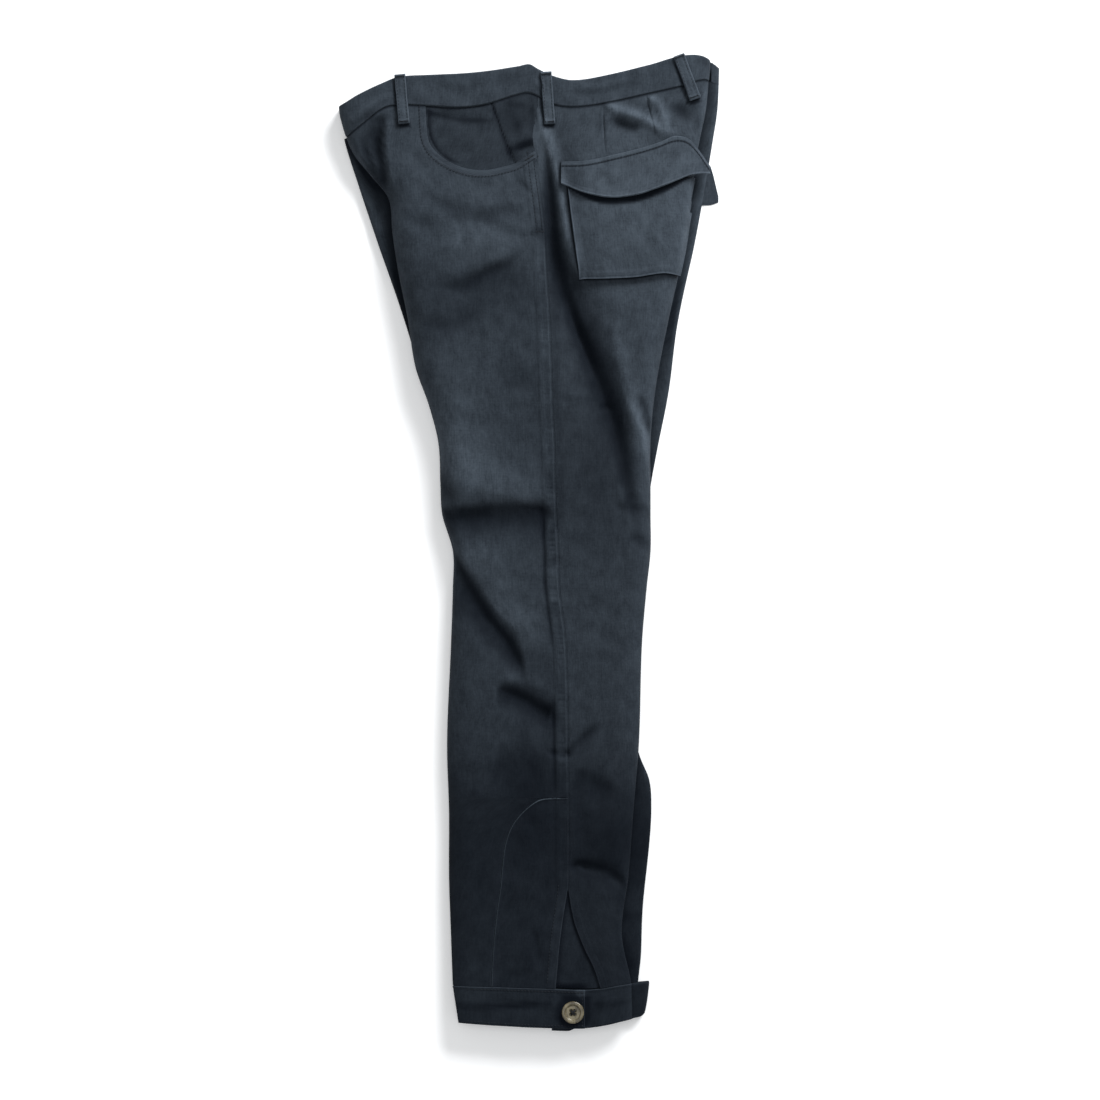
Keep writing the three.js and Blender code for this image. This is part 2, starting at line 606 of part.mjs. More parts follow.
// Ankle band of the right leg, whose outer side lies on the floor.
function rightAnkleBand() {
  const fronts = columnsOf(rightFront[0]).reverse();
  const backs = columnsOf(rightBack[0]);
  const points = spread(0, 1, 3).map((v) => {
    const level = (x) => ankleLine("hem", x) + (ankleLine("seam", x) - ankleLine("hem", x)) * v;
    const row = [];
    const put = (x, z) => row.push(new THREE.Vector3(x, level(x), z));
    const front = right("front", HEM) + 3 * (1 - v);
    const back = right("back", HEM) + 5 + 7 * Math.sqrt(v);
    const deck = right("deck", HEM);
    const above = (x, up) => lift(x, up) + 1.75 * ease(62, 46, x);
    for (const x of [OVERLAP_END, 34, 26, ...fronts.slice(0, -1)]) row.push(pointOn(lift, x, level(x), true));
    for (const a of [-90, -45, 0, 45, 90]) {
      const angle = (a * Math.PI) / 180;
      put(front + LOW_ROUND - LOW_ROUND * Math.cos(angle), (deck / 2) * (1 + Math.sin(angle)));
    }
    const inner = (left("front", HEM) + left("back", HEM)) / 2;
    const panel = right("back", HEM) - LOW_ROUND;
    const from = front + LOW_ROUND;
    for (const x of [(from + inner) / 2, inner, (inner + panel) / 2, panel, back - LOW_ROUND]) put(x, deck);
    for (const a of [45, 0, -45, -90]) {
      const angle = (a * Math.PI) / 180;
      put(back - LOW_ROUND + LOW_ROUND * Math.cos(angle), (deck / 2) * (1 + Math.sin(angle)));
    }
    for (const x of backs.slice(1)) row.push(pointOn(above, x, level(x), true));
    for (const x of [54, 50, 46, 33, 20, UNDERLAP_END]) row.push(pointOn(above, x, level(x), true));
    return row;
  });
  return layer(points, BACK_SENSE, -BAND, 0);
}

// Gusset behind the open vent, at a depth under the panels' faces.
function gusset(face, facesDown, sense, depth) {
  const points = spread(0, 1, 7).map((v) => {
    const row = [];
    for (const t of spread(0, 1, 6)) {
      const from = (up) => along(VENT, "up", "front", up) - 7;
      const to = (up) => along(VENT, "up", "back", up) + 7;
      const nominal = HEM + 0.8 + (VENT[VENT.length - 1].up + 8 - HEM) * v;
      const x = from(nominal) + (to(nominal) - from(nominal)) * t;
      row.push(pointOn(face, x, rowHeight(x, nominal), facesDown));
    }
    return row;
  });
  return layer(points, sense, -depth - CLOTH, -depth);
}

// Belt loop over the upper side: a strip with both ends folded under and sewn down.
function upperLoop(loop) {
  const along = new THREE.Vector2(loop.x1 - loop.x0, loop.up1 - loop.up0).normalize();
  const across = new THREE.Vector2(-along.y, along.x);
  const length = Math.hypot(loop.x1 - loop.x0, loop.up1 - loop.up0);
  const points = [0, 0.11, 0.24, 0.4, 0.6, 0.76, 0.89, 1].map((t) =>
    [-0.5, -0.17, 0.17, 0.5].map((s) => {
      const x = loop.x0 + along.x * length * t + across.x * LOOP_WIDTH * s;
      const up = loop.up0 + along.y * length * t + across.y * LOOP_WIDTH * s;
      return pointOn(upperFace, x, up);
    }),
  );
  const outer = [2.3, 2.6, 2.2, 1.9, 1.9, 2.2, 2.6, 2.3];
  return layer(points, 1, 0.6, (_, i) => outer[i]);
}

// Belt loop of the right side, flat on the floor.
function lowerLoop(loop) {
  const half = LOOP_WIDTH / 2;
  const slant = (loop.x1 - loop.x0) / (loop.up1 - loop.up0);
  const corner = (x, up, side) => [x + side * half, up - side * half * slant];
  const upper = [corner(loop.x0, loop.up0, -1), corner(loop.x0, loop.up0, 1)];
  const lower = [corner(loop.x1, loop.up1, 1), corner(loop.x1, loop.up1, -1)];
  return block([...upper, ...lower], 0, 1.1);
}

// Back pocket's flap: sewn down along its upper edge, lifting off the pocket in waves along its free edge.
function leftFlap() {
  const xs = [17, 26, 35, 44, 54, 64, 74, 84, 94, 104, 114, 124, 134, 143, 151, 158, 165, 172];
  const points = spread(0, 1, 5).map((v) =>
    xs.map((x) => {
      const up = along(FLAP, "x", "top", x) * (1 - v) + along(FLAP, "x", "bottom", x) * v;
      const rim = left("back", up) - 16;
      const past = Math.max(0, x - rim);
      const onPanel = upperFace(Math.min(x, rim), up) - 0.2 * past - 0.004 * past * past;
      const wave = 1.2 * Math.sin(x / 13) + 0.8 * Math.sin(x / 7.3 + 1);
      const off = 0.8 + 1.3 * ease(0, 0.35, v) + (1.6 + 0.5 * wave) * v * v;
      return new THREE.Vector3(x, up, onPanel + off + 1.4);
    }),
  );
  return layer(points, 1, -1.4, 0);
}

// Four-hole button with a raised rim, standing on z = 0.
function button() {
  const r = BUTTON_RADIUS;
  const h = BUTTON_HEIGHT;
  const rim = [[0, 0], [r - 1.5, 0], [r, 1.3], [r - 0.6, h - 0.2], [r - 1.7, h]];
  const profile = [...rim, [r - 4, h - 0.9], [0, h - 1.1]];
  let body = solid(new THREE.LatheGeometry(profile.map(([x, y]) => new THREE.Vector2(x, y)), 28));
  for (const [x, z] of [[1.7, 1.7], [-1.7, 1.7], [1.7, -1.7], [-1.7, -1.7]]) {
    const hole = solid(new THREE.CylinderGeometry(1, 1, h + 4, 8).translate(x, h / 2, z));
    body = body.subtract(hole);
  }
  return geometryOf(body).rotateX(Math.PI / 2);
}

addFront("left", leftFront, OVER);
addFront("right", rightFront, UNDER);
add("left_back", layer(leftBack, BACK_SENSE, -CLOTH, 0));
add("right_back", layer(rightBack, BACK_SENSE, -CLOTH, 0));
addPocket("left", leftBack, POCKET, OVER);
addPocket("right", rightBack, RIGHT_POCKET, UNDER);
add("left_pocket_flap", leftFlap());
add("right_pocket_flap", block(RIGHT_FLAP, 0, CLOTH));
add("waistband_left", leftWaistband());
add("waistband_right", rightWaistband());
add("left_ankle_band", leftAnkleBand());
add("right_ankle_band", rightAnkleBand());
add("left_vent_gusset", gusset(upperFace, false, BACK_SENSE, 1.5));
add("right_vent_gusset", gusset(lift, true, FRONT_SENSE, 1.9));
for (const loop of LOOPS) {
  add(`left_${loop.name}_belt_loop`, upperLoop(loop));
  add(`right_${loop.name}_belt_loop`, lowerLoop(loop));
}
const seat = upperFace(BUTTON_X, BUTTON_UP) + 0.2 + GAP;
add("left_ankle_button", button().translate(BUTTON_X, BUTTON_UP, seat), horn);
add("right_ankle_button", button().rotateY(Math.PI).translate(BUTTON_X, BUTTON_UP, BUTTON_HEIGHT), horn);

// The origin is the middle of the garment's outline, on the plane it lies on.
const bounds = new THREE.Box3().setFromObject(garment);
const middle = bounds.getCenter(new THREE.Vector3());
for (const mesh of garment.children) mesh.geometry.translate(-middle.x, -middle.y, -bounds.min.z);

garment.updateMatrixWorld(true);
export default garment;
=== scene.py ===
import math

import bpy
import numpy as np
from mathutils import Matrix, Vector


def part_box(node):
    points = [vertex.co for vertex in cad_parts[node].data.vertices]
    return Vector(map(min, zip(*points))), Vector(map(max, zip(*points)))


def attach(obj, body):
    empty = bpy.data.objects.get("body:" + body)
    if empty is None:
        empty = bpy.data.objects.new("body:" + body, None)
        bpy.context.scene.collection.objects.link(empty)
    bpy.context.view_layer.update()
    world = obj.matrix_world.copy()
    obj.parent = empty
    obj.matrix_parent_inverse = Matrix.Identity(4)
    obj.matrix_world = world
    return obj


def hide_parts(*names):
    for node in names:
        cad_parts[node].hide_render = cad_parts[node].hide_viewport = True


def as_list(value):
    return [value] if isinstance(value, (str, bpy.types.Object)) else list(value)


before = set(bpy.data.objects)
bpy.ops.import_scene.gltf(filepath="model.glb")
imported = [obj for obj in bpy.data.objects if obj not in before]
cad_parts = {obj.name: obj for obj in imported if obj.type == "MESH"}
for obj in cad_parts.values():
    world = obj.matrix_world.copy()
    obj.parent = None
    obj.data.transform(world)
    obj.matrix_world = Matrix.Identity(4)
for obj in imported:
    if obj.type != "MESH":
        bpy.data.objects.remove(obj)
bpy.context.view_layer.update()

# Slim chino trousers laid flat on their right side and seen straight down. Sizes are in millimetres: x runs
# across the garment from the front folds to the back folds, and up runs from the ankle bands to the waist.
MM = 0.001
FAR = 999.0  # stands for a distance from an edge that a place is nowhere near
CLOTH = 1.0  # one layer of twill
BAND = 1.4  # waistband and ankle bands
GAP = 0.3  # clearance between layers
SEAM = 0.03  # how far a panel stops short of the line of its seam
HEM = 46  # height of the ankle band's seam, nominal
WAIST = 950  # height of the waistband's seam, nominal
CROTCH = 700
HIP = 720  # the outline follows the slanted waist seam above this
LOW_ROUND = 5  # width of the turn under a fold edge
LOW_HEIGHT = 3.5  # and its height
CROWN = 1.6
BUTTON_RADIUS = 11.5
BUTTON_HEIGHT = 3
BUTTON_X = 29
BUTTON_UP = 19
OVERLAP_END = 41.5  # the ankle band's upper end, and its lower end beneath
UNDERLAP_END = 7
LAP = 40  # the waistband's overlap at the centre front
LOOP_WIDTH = 11.5
LOOP_ROW = 1.9  # a loop's rows of stitches, in from its sides
ALLOWANCE = 12.5  # the side seam's allowances, pressed to the front
SEAM_ROWS = (1.7, 7.7)  # two rows of stitches in front of it, below the pocket's mouth
RIM = 7.5  # the turned edge of the pocket's mouth
SHIN_TOP = 242

# The frame's place, from the middle of the ankle button.
button_low, button_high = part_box("left_ankle_button")
SHIFT_X = (button_low[0] + button_high[0]) / 2 / MM - BUTTON_X
SHIFT_Y = (button_low[1] + button_high[1]) / 2 / MM - BUTTON_UP

# The left leg, on top: its fold edges, the side seam, the height of its upper layer, and how far in from the
# fold edges that layer starts to round down.
LEFT_LEG = {
    "up": [0, 46, 100, 160, 225, 300, 400, 460, 498, 536, 567, 610, 650, 690, 740, 790, 830, 865, 887, 915,
           930, 960, 1015],
    "front": [-94, -96, -98, -100, -100, -102, -98, -96, -96, -107, -109, -111, -121, -135, -143, -153, -159,
              -163, -180, -201, -207, -214, -214],
    "side": [24, 24, 24, 24, 24, 23, 21, 14, 13, 11, 10, 9, 7, 6, 4, 1, -1, -5, -8, -11, -13, -8, -6],
    "back": [91, 90, 80, 87, 92, 98, 101, 106, 110, 110, 110, 110, 113, 119, 129, 140, 147, 151, 155, 159,
             162, 168, 172],
    "loft": [18.6, 18.6, 18, 18.5, 19.5, 21, 23, 24, 25, 26, 27, 28, 29, 30, 30, 30, 30, 29, 28, 27, 26.5,
             26, 25],
    "front_turn": [20, 22, 24, 26, 28, 30, 30, 30, 28, 28, 30, 32, 34, 34, 34, 34, 30, 32, 38, 44, 46, 46,
                   46],
    "back_turn": [18, 20, 20, 22, 24, 26, 26, 26, 26, 26, 26, 28, 28, 28, 28, 26, 24, 24, 26, 30, 32, 34, 34],
}

# The right leg, underneath. deck is its top, on which the left leg lies.
RIGHT_LEG = {
    "up": [0, 46, 75, 126, 194, 229, 259, 284, 307, 395, 499, 557, 603, 664, 727, 764, 818, 884, 926, 960,
           1015],
    "front": [-86, -86, -88, -90, -90, -90, -90, -90, -90, -88, -86, -95, -105, -124, -143, -155, -174, -196,
              -209, -214, -214],
    "back": [97, 97, 100, 102, 109, 111, 109, 99, 94, 96, 104, 109, 117, 129, 137, 144, 156, 168, 175, 180,
             182],
    "deck": [8.4, 8.4, 8, 6.4, 5, 4.6, 4.6, 4.6, 4.6, 4.6, 4.6, 4.6, 4.8, 5.6, 7.2, 8, 8, 8, 8, 8, 8],
}

# How far the hidden inner layers reach in from the fold edges above the crotch.
RISE = {
    "up": [700, 712, 735, 765, 800, 850, 900, 1015],
    "front": [124, 92, 52, 28, 16, 9, 8, 8],
    "back": [112, 104, 84, 58, 36, 20, 11, 9],
}

# The waistband's seam and upper edge, and the ankle band's seam and lower edge.
WAIST_LINE = {
    "x": [-214, -207, -192, -168, -152, -120, -87, -60, -28, -16, -7, 8, 29, 60, 108, 142, 165, 182],
    "seam": [928, 929, 940, 957.5, 961, 960, 958.5, 962, 972, 973.5, 970, 962, 959, 962.5, 973, 981, 988,
             984],
    "top": [961, 964.5, 973, 984, 990, 992, 993.5, 996, 1001, 1003, 998, 991, 986.5, 991, 1002.5, 1012, 1012,
            1001],
}
ANKLE_LINE = {
    "x": [-96, -52, 0, 40, 62, 80, 110],
    "seam": [46, 45, 43.5, 42, 44, 47, 50],
    "hem": [8, 5, 2.5, 2, 5, 9, 15],
}

# The vent's two pressed edges, at the foot of the side seam, and its top.
VENT_TOP = 146
VENT = {"up": [42, 64, 87, 114, VENT_TOP], "front": [11, 13, 15, 18.5, 23.5], "back": [58, 51, 40, 30, 24]}

# The curved seam of the shin panel, below its top.
SHIN_SEAM = {
    "up": [30, 80, 122, 150, 172, 194, 213, 228, 238, 241, 242],
    "x": [-56, -54, -50, -46, -44, -41, -34, -22, -9, 0, 23],
}

# The front pocket's mouth, from the waist seam round to the side seam.
MOUTH = [
    (-124, 966), (-123, 940), (-120, 922), (-110, 909), (-94, 899), (-78, 894), (-62, 893), (-47, 895.5),
    (-31, 900), (-21, 906), (-11, 912.5),
]
MOUTH_CORNERS = [(2, 911), (2, 985), (-70, 985)]  # closes the mouth's outline above the waist seam
FACING_FOOT = {"x": [-134, -110, -78, -47, -11, 0], "up": [930, 900, 885, 886, 903, 903]}
SIDE_PIECE = np.array([(-54, 962), (-44, 934), (-30, 900)], float)  # seam of the facing's side piece

# Back pocket: its left and right edges by height, and its lower edge across.
POCKET_SIDES = {"up": [778, 812, 850, 890], "left": [37, 31, 26, 22], "right": [137, 144, 150, 158]}
POCKET_TOP = 886
POCKET_ROWS = (1.9, 7.2)  # its two rows of stitches, in from its edges
POCKET_LEFT = 37  # the foot's two corners
POCKET_RIGHT = 137
POCKET_FOOT = {"x": [POCKET_LEFT, 71, 96, 122, POCKET_RIGHT], "up": [780, 780.5, 782, 786, 784.5]}

# Back pocket's flap, which reaches past the back fold.
FLAP_LEFT = 17
FLAP_RIGHT = 172
FLAP = {
    "x": [FLAP_LEFT, 41, 68, 96, 116, 135, 149, 160, FLAP_RIGHT],
    "top": [902, 902.5, 908, 915, 921, 928, 925.5, 914, 897],
    "bottom": [879, 869, 864, 867, 873.5, 881, 887, 889.5, 890],
}
RIGHT_FLAP = {
    "x": [22, 60, 96, 150, 172, 181],
    "top": [904, 907, 909, 909, 901, 868],
    "bottom": [876, 868, 868, 860, 859, 862],
}

# Belt loops: the middle of the upper end and of the lower end.
LOOPS = {
    "front": ((-150.5, 992.5), (-146, 941)),
    "side": ((1, 995), (5, 940.5)),
    "back": ((138.5, 1012.5), (155.5, 967)),
}

# The largest folds: start, end, width on the left and on the right of that line, and height.
FOLDS = [
    ((5, 932), (12, 768), 20, 14, -6.5),
    ((12, 800), (80, 590), 24, 17, -6),
    ((-14, 940), (26, 800), 14, 14, 3.5),
    ((-108, 568), (0, 556), 26, 28, 3.4),
    ((-100, 528), (12, 534), 20, 18, -4.5),
    ((-92, 498), (-8, 356), 22, 16, -4.5),
    ((-40, 352), (14, 318), 18, 16, -3.5),
    ((-184, 940), (-166, 860), 16, 14, -3.5),
    ((-110, 812), (-30, 824), 20, 20, 2.5),
    ((-96, 770), (-20, 786), 20, 18, -1.6),
    ((30, 172), (84, 158), 18, 18, -3),
    ((86, 642), (104, 596), 13, 13, 3),
]

# Creases of the outer side: a path, its widths on the left and on the right of the way it runs, its height,
# and where given the shares of its length over which it starts and ends.
CREASES = [
    # the ridge that rolls over beside the side seam, and the long hollow next to it
    ([(-14, 975), (-4, 941), (3, 920), (9, 900), (17, 863), (22, 832), (28, 806), (36, 785), (52, 765)], 8, 5,
     4.4),
    ([(-2, 935), (2, 900), (5, 863), (8, 827), (12.5, 799), (19, 770), (29, 738), (39.5, 712), (49, 686),
      (59, 660)], 6, 6.5, -5.4),
    ([(19, 770), (29, 738), (39.5, 712), (49, 686), (59, 660), (70, 634), (77, 606), (84, 574), (92, 538),
      (100, 500)], 9, 7, -4.4),
    ([(22, 770), (42, 712), (62, 660), (82, 600)], 15, 5, -2.4),
    ([(70, 740), (83, 676), (90, 645), (99, 614), (107, 586)], 9, 8, 2.6),
    ([(82, 664), (90, 643), (99, 624), (106, 602), (109, 570)], 3.5, 4, 2.6),
    ([(54, 643), (63, 648), (74, 645)], 4, 4, -2.2),
    ([(94, 664), (102, 648), (107, 632), (111, 614)], 4, 4.5, -3.0),
    # whiskers over the hip and the thigh
    ([(-126, 872), (-104, 855), (-68, 848), (-30, 853), (-12, 862)], 7, 9, -1.4),
    ([(-154, 846), (-125, 838), (-109, 812)], 8, 8, -1.3),
    ([(-112, 838), (-68, 841), (-36, 828), (-8, 821)], 6, 7, -1.1),
    ([(-118, 774), (-88, 771), (-62, 785), (-36, 797), (-20, 808)], 6, 7, -2.2),
    ([(-120, 788), (-84, 788), (-50, 802), (-24, 822)], 9, 6, 1.0),
    ([(-134, 738), (-100, 732), (-66, 750)], 11, 12, -1.7),
    ([(-19, 824), (-10, 827), (-1, 833)], 2.6, 2.6, -1.3),
    ([(-32, 886), (-22, 876), (-12, 866)], 3.5, 3.5, -1.1),
    ([(-60, 690), (-30, 676), (4, 668)], 12, 12, -0.9),
    ([(10, 656), (40, 655), (62, 652)], 3, 5, -0.7),
    # fly and the front fold
    ([(-166, 952), (-171.5, 926), (-169.5, 905), (-164, 870)], 3.2, 10, -3.2, 0.1, 0.2),
    ([(-159, 950), (-164.5, 926), (-162.5, 905), (-157, 868)], 3.5, 3.5, 1.9, 0.1),
    ([(-184, 932), (-178, 908), (-170, 884)], 2.2, 2.6, 1.1),
    ([(-192, 938), (-186, 914), (-176, 892)], 2.5, 3, -1.3),
    ([(-190, 924), (-184, 902), (-176, 886)], 4, 4, -1.2),
    ([(-196, 916), (-190, 900), (-184, 890)], 4, 3, 0.9),
    # knee: a ledge over a hollow, then the long slanting fold
    ([(-124, 640), (-104, 610), (-84, 585), (-60, 566)], 20, 20, 1.2),
    ([(-124, 586), (-106, 566), (-96, 552), (-84, 544)], 8, 9, -1.7, 0.1, 0.4),
    ([(-80, 568), (-60, 562), (-36, 556), (-8, 553), (12, 550)], 10, 6, 1.1),
    ([(-128, 540), (-94, 539), (-60, 541), (-36, 543), (-12, 541), (8, 539)], 4.5, 20, -2.6, 0.1, 0.06),
    ([(-110, 535), (-90, 532), (-70, 534), (-50, 538)], 6, 9, -1.3, 0.1),
    ([(-112, 520), (-94, 501), (-73, 474), (-52, 441), (-29, 414), (-20, 382), (-16, 350)], 22, 6, 3.2),
    ([(-118, 525), (-94, 487), (-76, 457), (-56, 424), (-36, 401), (-26, 378), (-20, 354)], 5, 16, -3.8, 0.1,
     0.2),
    ([(-122, 520), (-100, 482), (-86, 458), (-66, 432), (-44, 404)], 12, 18, -2.6, 0.1, 0.4),
    ([(-52, 354), (-40, 351), (-26, 346), (-10, 337), (7, 328)], 6.5, 12, -4.6, 0.12, 0.1),
    ([(-52, 366), (-24, 364), (4, 353)], 12, 5, 1.3),
    ([(3, 336), (1, 322), (-2, 308)], 7, 4, -1.3),
    ([(20, 284), (30, 294), (44, 307), (60, 322)], 4, 6, -2.4, 0.1),
    ([(0, 288), (14, 288), (30, 284)], 4, 4, -1.6),
    ([(-70, 272), (-30, 272), (8, 282)], 16, 22, -1.4),
    ([(70, 546), (90, 542), (112, 544)], 4, 7, -1.5),
    ([(86, 516), (98, 509), (112, 503)], 4, 7, -1.7),
    ([(64, 560), (88, 560), (112, 562)], 8, 5, 0.8),
    # calf and ankle
    ([(26, 272), (40, 262), (58, 252), (76, 244)], 9, 14, -2.6),
    ([(30, 262), (36, 232), (40, 192)], 7, 7, -1.3),
    ([(24, 170), (34, 171), (50, 168), (68, 162), (82, 151), (92, 136)], 5, 9, -3.2, 0.1, 0.12),
    ([(24, 168), (34, 172), (48, 167)], 4, 5, -1.2),
    ([(60, 160), (76, 152), (90, 140)], 6, 8, -1.8),
    ([(34, 184), (66, 178), (88, 165)], 9, 5, 0.8),
    ([(74, 150), (82, 120), (86, 80)], 6, 7, -1.2),
    ([(-14, 110), (-9, 90), (-4, 66)], 3.5, 4.5, -1.3),
    ([(-46, 60), (-28, 58), (-8, 62)], 5, 6, -0.8),
    ([(72, 112), (80, 82), (86, 52)], 5, 5, -1.2),
    ([(-30, 238), (-14, 214), (-4, 196)], 6, 5, -0.9),
    # back, between the waist seam and the flap
    ([(60, 962), (74, 955), (88, 951), (110, 941), (126, 932), (146, 930)], 5, 4.5, 4.4, 0.1),
    ([(66, 948), (76, 942), (88, 938), (100, 934)], 4.5, 6, -3.4),
    ([(107, 970), (118, 958), (125, 942), (132, 932)], 4, 4.5, 4.0, 0.1),
    ([(112, 966), (116, 955), (119, 947)], 2.8, 3, -2.0),
    ([(128, 962), (142, 954), (156, 946)], 6, 7, -3.4),
    ([(150, 968), (158, 950), (160, 930)], 4, 4, -1.4),
    ([(168, 992), (165, 950), (159, 918)], 3, 3, 1.3),
    ([(152, 892), (146, 830), (137, 772)], 4, 4, 1.0),
    # the waistband's soft dents
    ([(-206, 944), (-190, 954), (-172, 966), (-152, 973)], 3.5, 3, 1.5, 0.1, 0.2),
    ([(-206, 936), (-190, 945), (-172, 957)], 3, 3, -0.8),
    ([(-60, 982), (-30, 988), (-14, 992)], 6, 6, -0.8),
    ([(-120, 980), (-90, 978), (-60, 983)], 3, 5, -0.7),
    ([(14, 974), (44, 972), (80, 980), (110, 990)], 4, 4, -0.9),
    ([(30, 980), (60, 980), (96, 990)], 3, 3, 0.7),
    ([(-14, 988), (-8, 984), (-4, 976)], 3, 3, 1.2),
    ([(152, 1004), (166, 1006), (176, 998)], 4, 4, -1.0),
]

# Painted shade in the creases of the right leg where it shows: a path, its widths and the share of the fading
# that it takes away.
LOWER_PAINTED_CREASE_SHADE = [
    ([(76, 118), (92, 117), (112, 119)], 4, 5, 0.6, 0.1, 0.1),
    ([(74, 100), (84, 82), (90, 56)], 8, 7, 0.7),
    ([(104, 200), (98, 170), (94, 140)], 5, 5, 0.5),
    ([(84, 210), (88, 190), (90, 172)], 4, 4, 0.6),
    ([(-196, 916), (-180, 880), (-170, 840)], 6, 6, 0.5),
    ([(-186, 925), (-180, 900), (-166, 888)], 4, 4, 0.4),
    ([(-160, 800), (-148, 760), (-138, 720)], 5, 5, 0.5),
    ([(146, 800), (134, 740), (126, 680)], 4, 4, 0.4),
]

# Painted shades of the pocket's facing and of the ankle band, in the same columns.
FACING_SHADE = [
    ([(-56, 966), (-47, 938), (-41, 922), (-33, 901)], 1.2, 2.6, 0.95, 0.15, 0.05),
    ([(-42, 913), (-33, 915), (-24, 919), (-10, 925)], 4.5, 5, 1.1, 0.12, 0.12),
    ([(-132, 958), (-123, 954), (-104, 949), (-83, 945), (-46, 945)], 3.5, 4, 0.8, 0.1),
    ([(-122, 960), (-120, 932), (-113, 916), (-100, 904), (-80, 897)], 3.5, 0.5, 1, 0.1),
    ([(-42, 958), (-33, 948), (-27, 936), (-24, 926)], 5, 5, 0.55),
    ([(-46, 964), (-30, 960), (-16, 962)], 3.5, 3.5, 0.5),
    ([(-14, 965), (-13, 945), (-12, 925)], 3, 3, 0.5),
]
BAND_SHADE = [
    ([(-112, 28), (-80, 25), (-40, 25.5), (-8, 27), (14, 25)], 3, 3.5, 0.95, 0.1, 0.1),
    ([(43, 38), (43.5, 22), (43, 3)], 4, 4, 1.2, 0.1, 0.1),
    ([(44, 29), (60, 27), (92, 31)], 3, 4, 0.7),
    ([(12, 38), (24, 35), (38, 34)], 2.5, 3, 0.8),
]

# The hollow line at the edge of the side seam's allowances, which is also painted darker as shade: from, to
# and depth.
ALLOWANCE_LINES = [(398, 545, 1.2), (246, 345, 1.1), (150, 240, 0.35), (560, 760, 0.2)]

# How much the cloth fades by height, which also paints the shade of light falling off towards the ankle
# bands, and paler or darker spots, partly fading and partly painted light and shade: middle x, middle height,
# reach across, reach up and down, and amount.
FADING_AND_PAINTED_FALLOFF = {
    "up": [0, 46, 100, 140, 165, 190, 220, 260, 300, 360, 560, 700, 850, 1015],
    "amount": [0.17, 0.19, 0.22, 0.22, 0.2, 0.19, 0.24, 0.38, 0.62, 0.74, 0.82, 0.9, 1.1, 0.98],
}
FADED_AND_PAINTED_LIGHT_SPOTS = [
    (-102, 632, 42, 58, 0.5), (-70, 590, 42, 26, 0.22), (-74, 490, 26, 30, 0.35), (-40, 455, 34, 44, 0.18),
    (95, 840, 70, 110, 0.4), (108, 625, 20, 70, 0.35), (58, 578, 46, 72, -0.36), (-28, 670, 34, 90, -0.1),
    (-70, 768, 90, 34, -0.45), (-14, 270, 30, 66, -0.24), (-108, 566, 20, 18, -0.3), (80, 205, 40, 36, -0.14),
    (-80, 60, 40, 30, 0.1), (60, 120, 26, 24, 0.07),
]
DARTS = [[(60, 962), (61, 935), (63, 906)], [(104, 975), (109, 952), (115, 928)]]

# The share of the cloth's fading inside the pocket's mouth, which paints the facing darker as shade, on the
# belt loops, which are paler, and where fading and painted shade leave the least of it.
FACING_FADING_IN_PAINTED_SHADE = 0.6
LOOP_PALENESS = 1.3
LEAST_FADING_AND_SHADE = 0.03


def along(table, key, column, at):
    """One column of a table at the given places: a cubic through its rows, whose slope at a row is the slope
    between the rows on both sides of it. Beyond the first and last rows it stays level."""
    k = np.asarray(table[key], float)
    v = np.asarray(table[column], float)
    at = np.clip(at, k[0], k[-1])
    i = np.clip(np.searchsorted(k, at, side="right") - 1, 0, len(k) - 2)
    behind = np.maximum(i - 1, 0)
    ahead = np.minimum(i + 2, len(k) - 1)
    span = k[i + 1] - k[i]
    t = (at - k[i]) / span
    m0 = (v[i + 1] - v[behind]) / (k[i + 1] - k[behind]) * span
    m1 = (v[ahead] - v[i]) / (k[ahead] - k[i]) * span
    t2 = t * t
    t3 = t2 * t
    from_here = (2 * t3 - 3 * t2 + 1) * v[i] + (t3 - 2 * t2 + t) * m0
    return from_here + (3 * t2 - 2 * t3) * v[i + 1] + (t3 - t2) * m1


def left(column, up):
    return along(LEFT_LEG, "up", column, up)


def right(column, up):
    return along(RIGHT_LEG, "up", column, up)


def waist_line(column, x):
    return along(WAIST_LINE, "x", column, x)


def ankle_line(column, x):
    return along(ANKLE_LINE, "x", column, x)


def between(line, lower, upper, x, v):
    """The height at a share v of the way from a line's lower edge to its upper one."""
    return line(lower, x) + (line(upper, x) - line(lower, x)) * v


def waist_level(x, v):
    return between(waist_line, "seam", "top", x, v)


def ankle_level(x, v):
    return between(ankle_line, "hem", "seam", x, v)


def ease(a, b, v):
    """From 0 to 1 as v goes from a to b, as 3 t squared minus 2 t cubed."""
    t = np.clip((v - a) / (b - a), 0, 1)
    return t * t * (3 - 2 * t)


def turn(distance, width):
    """A quarter of an ellipse: 0 at a fold edge, 1 from one width in."""
    t = np.clip(distance / width, 0, 1)
    return np.sqrt(1 - (1 - t) ** 2)


def bell(distance, width):
    """A bell curve: 1 at no distance, 0.37 at one width."""
    return np.exp(-((distance / width) ** 2))


def smooth_path(path, step=2.0):
    """Points about one step apart on a cubic curve through the given points, by the length between them."""
    path = np.asarray(path, float)
    lengths = np.hypot(*np.diff(path, axis=0).T)
    place = np.concatenate([[0], np.cumsum(lengths)])
    at = np.linspace(0, place[-1], max(2, int(place[-1] / step) + 1))
    table = {"s": place, "x": path[:, 0], "y": path[:, 1]}
    return np.stack([along(table, "s", "x", at), along(table, "s", "y", at)], axis=-1)


def ahead_and_out(line):
    """Unit directions along a line of points, and to the right of it."""
    ahead = np.gradient(line, axis=0)
    ahead /= np.linalg.norm(ahead, axis=1, keepdims=True)
    return ahead, np.stack([ahead[:, 1], -ahead[:, 0]], axis=1)


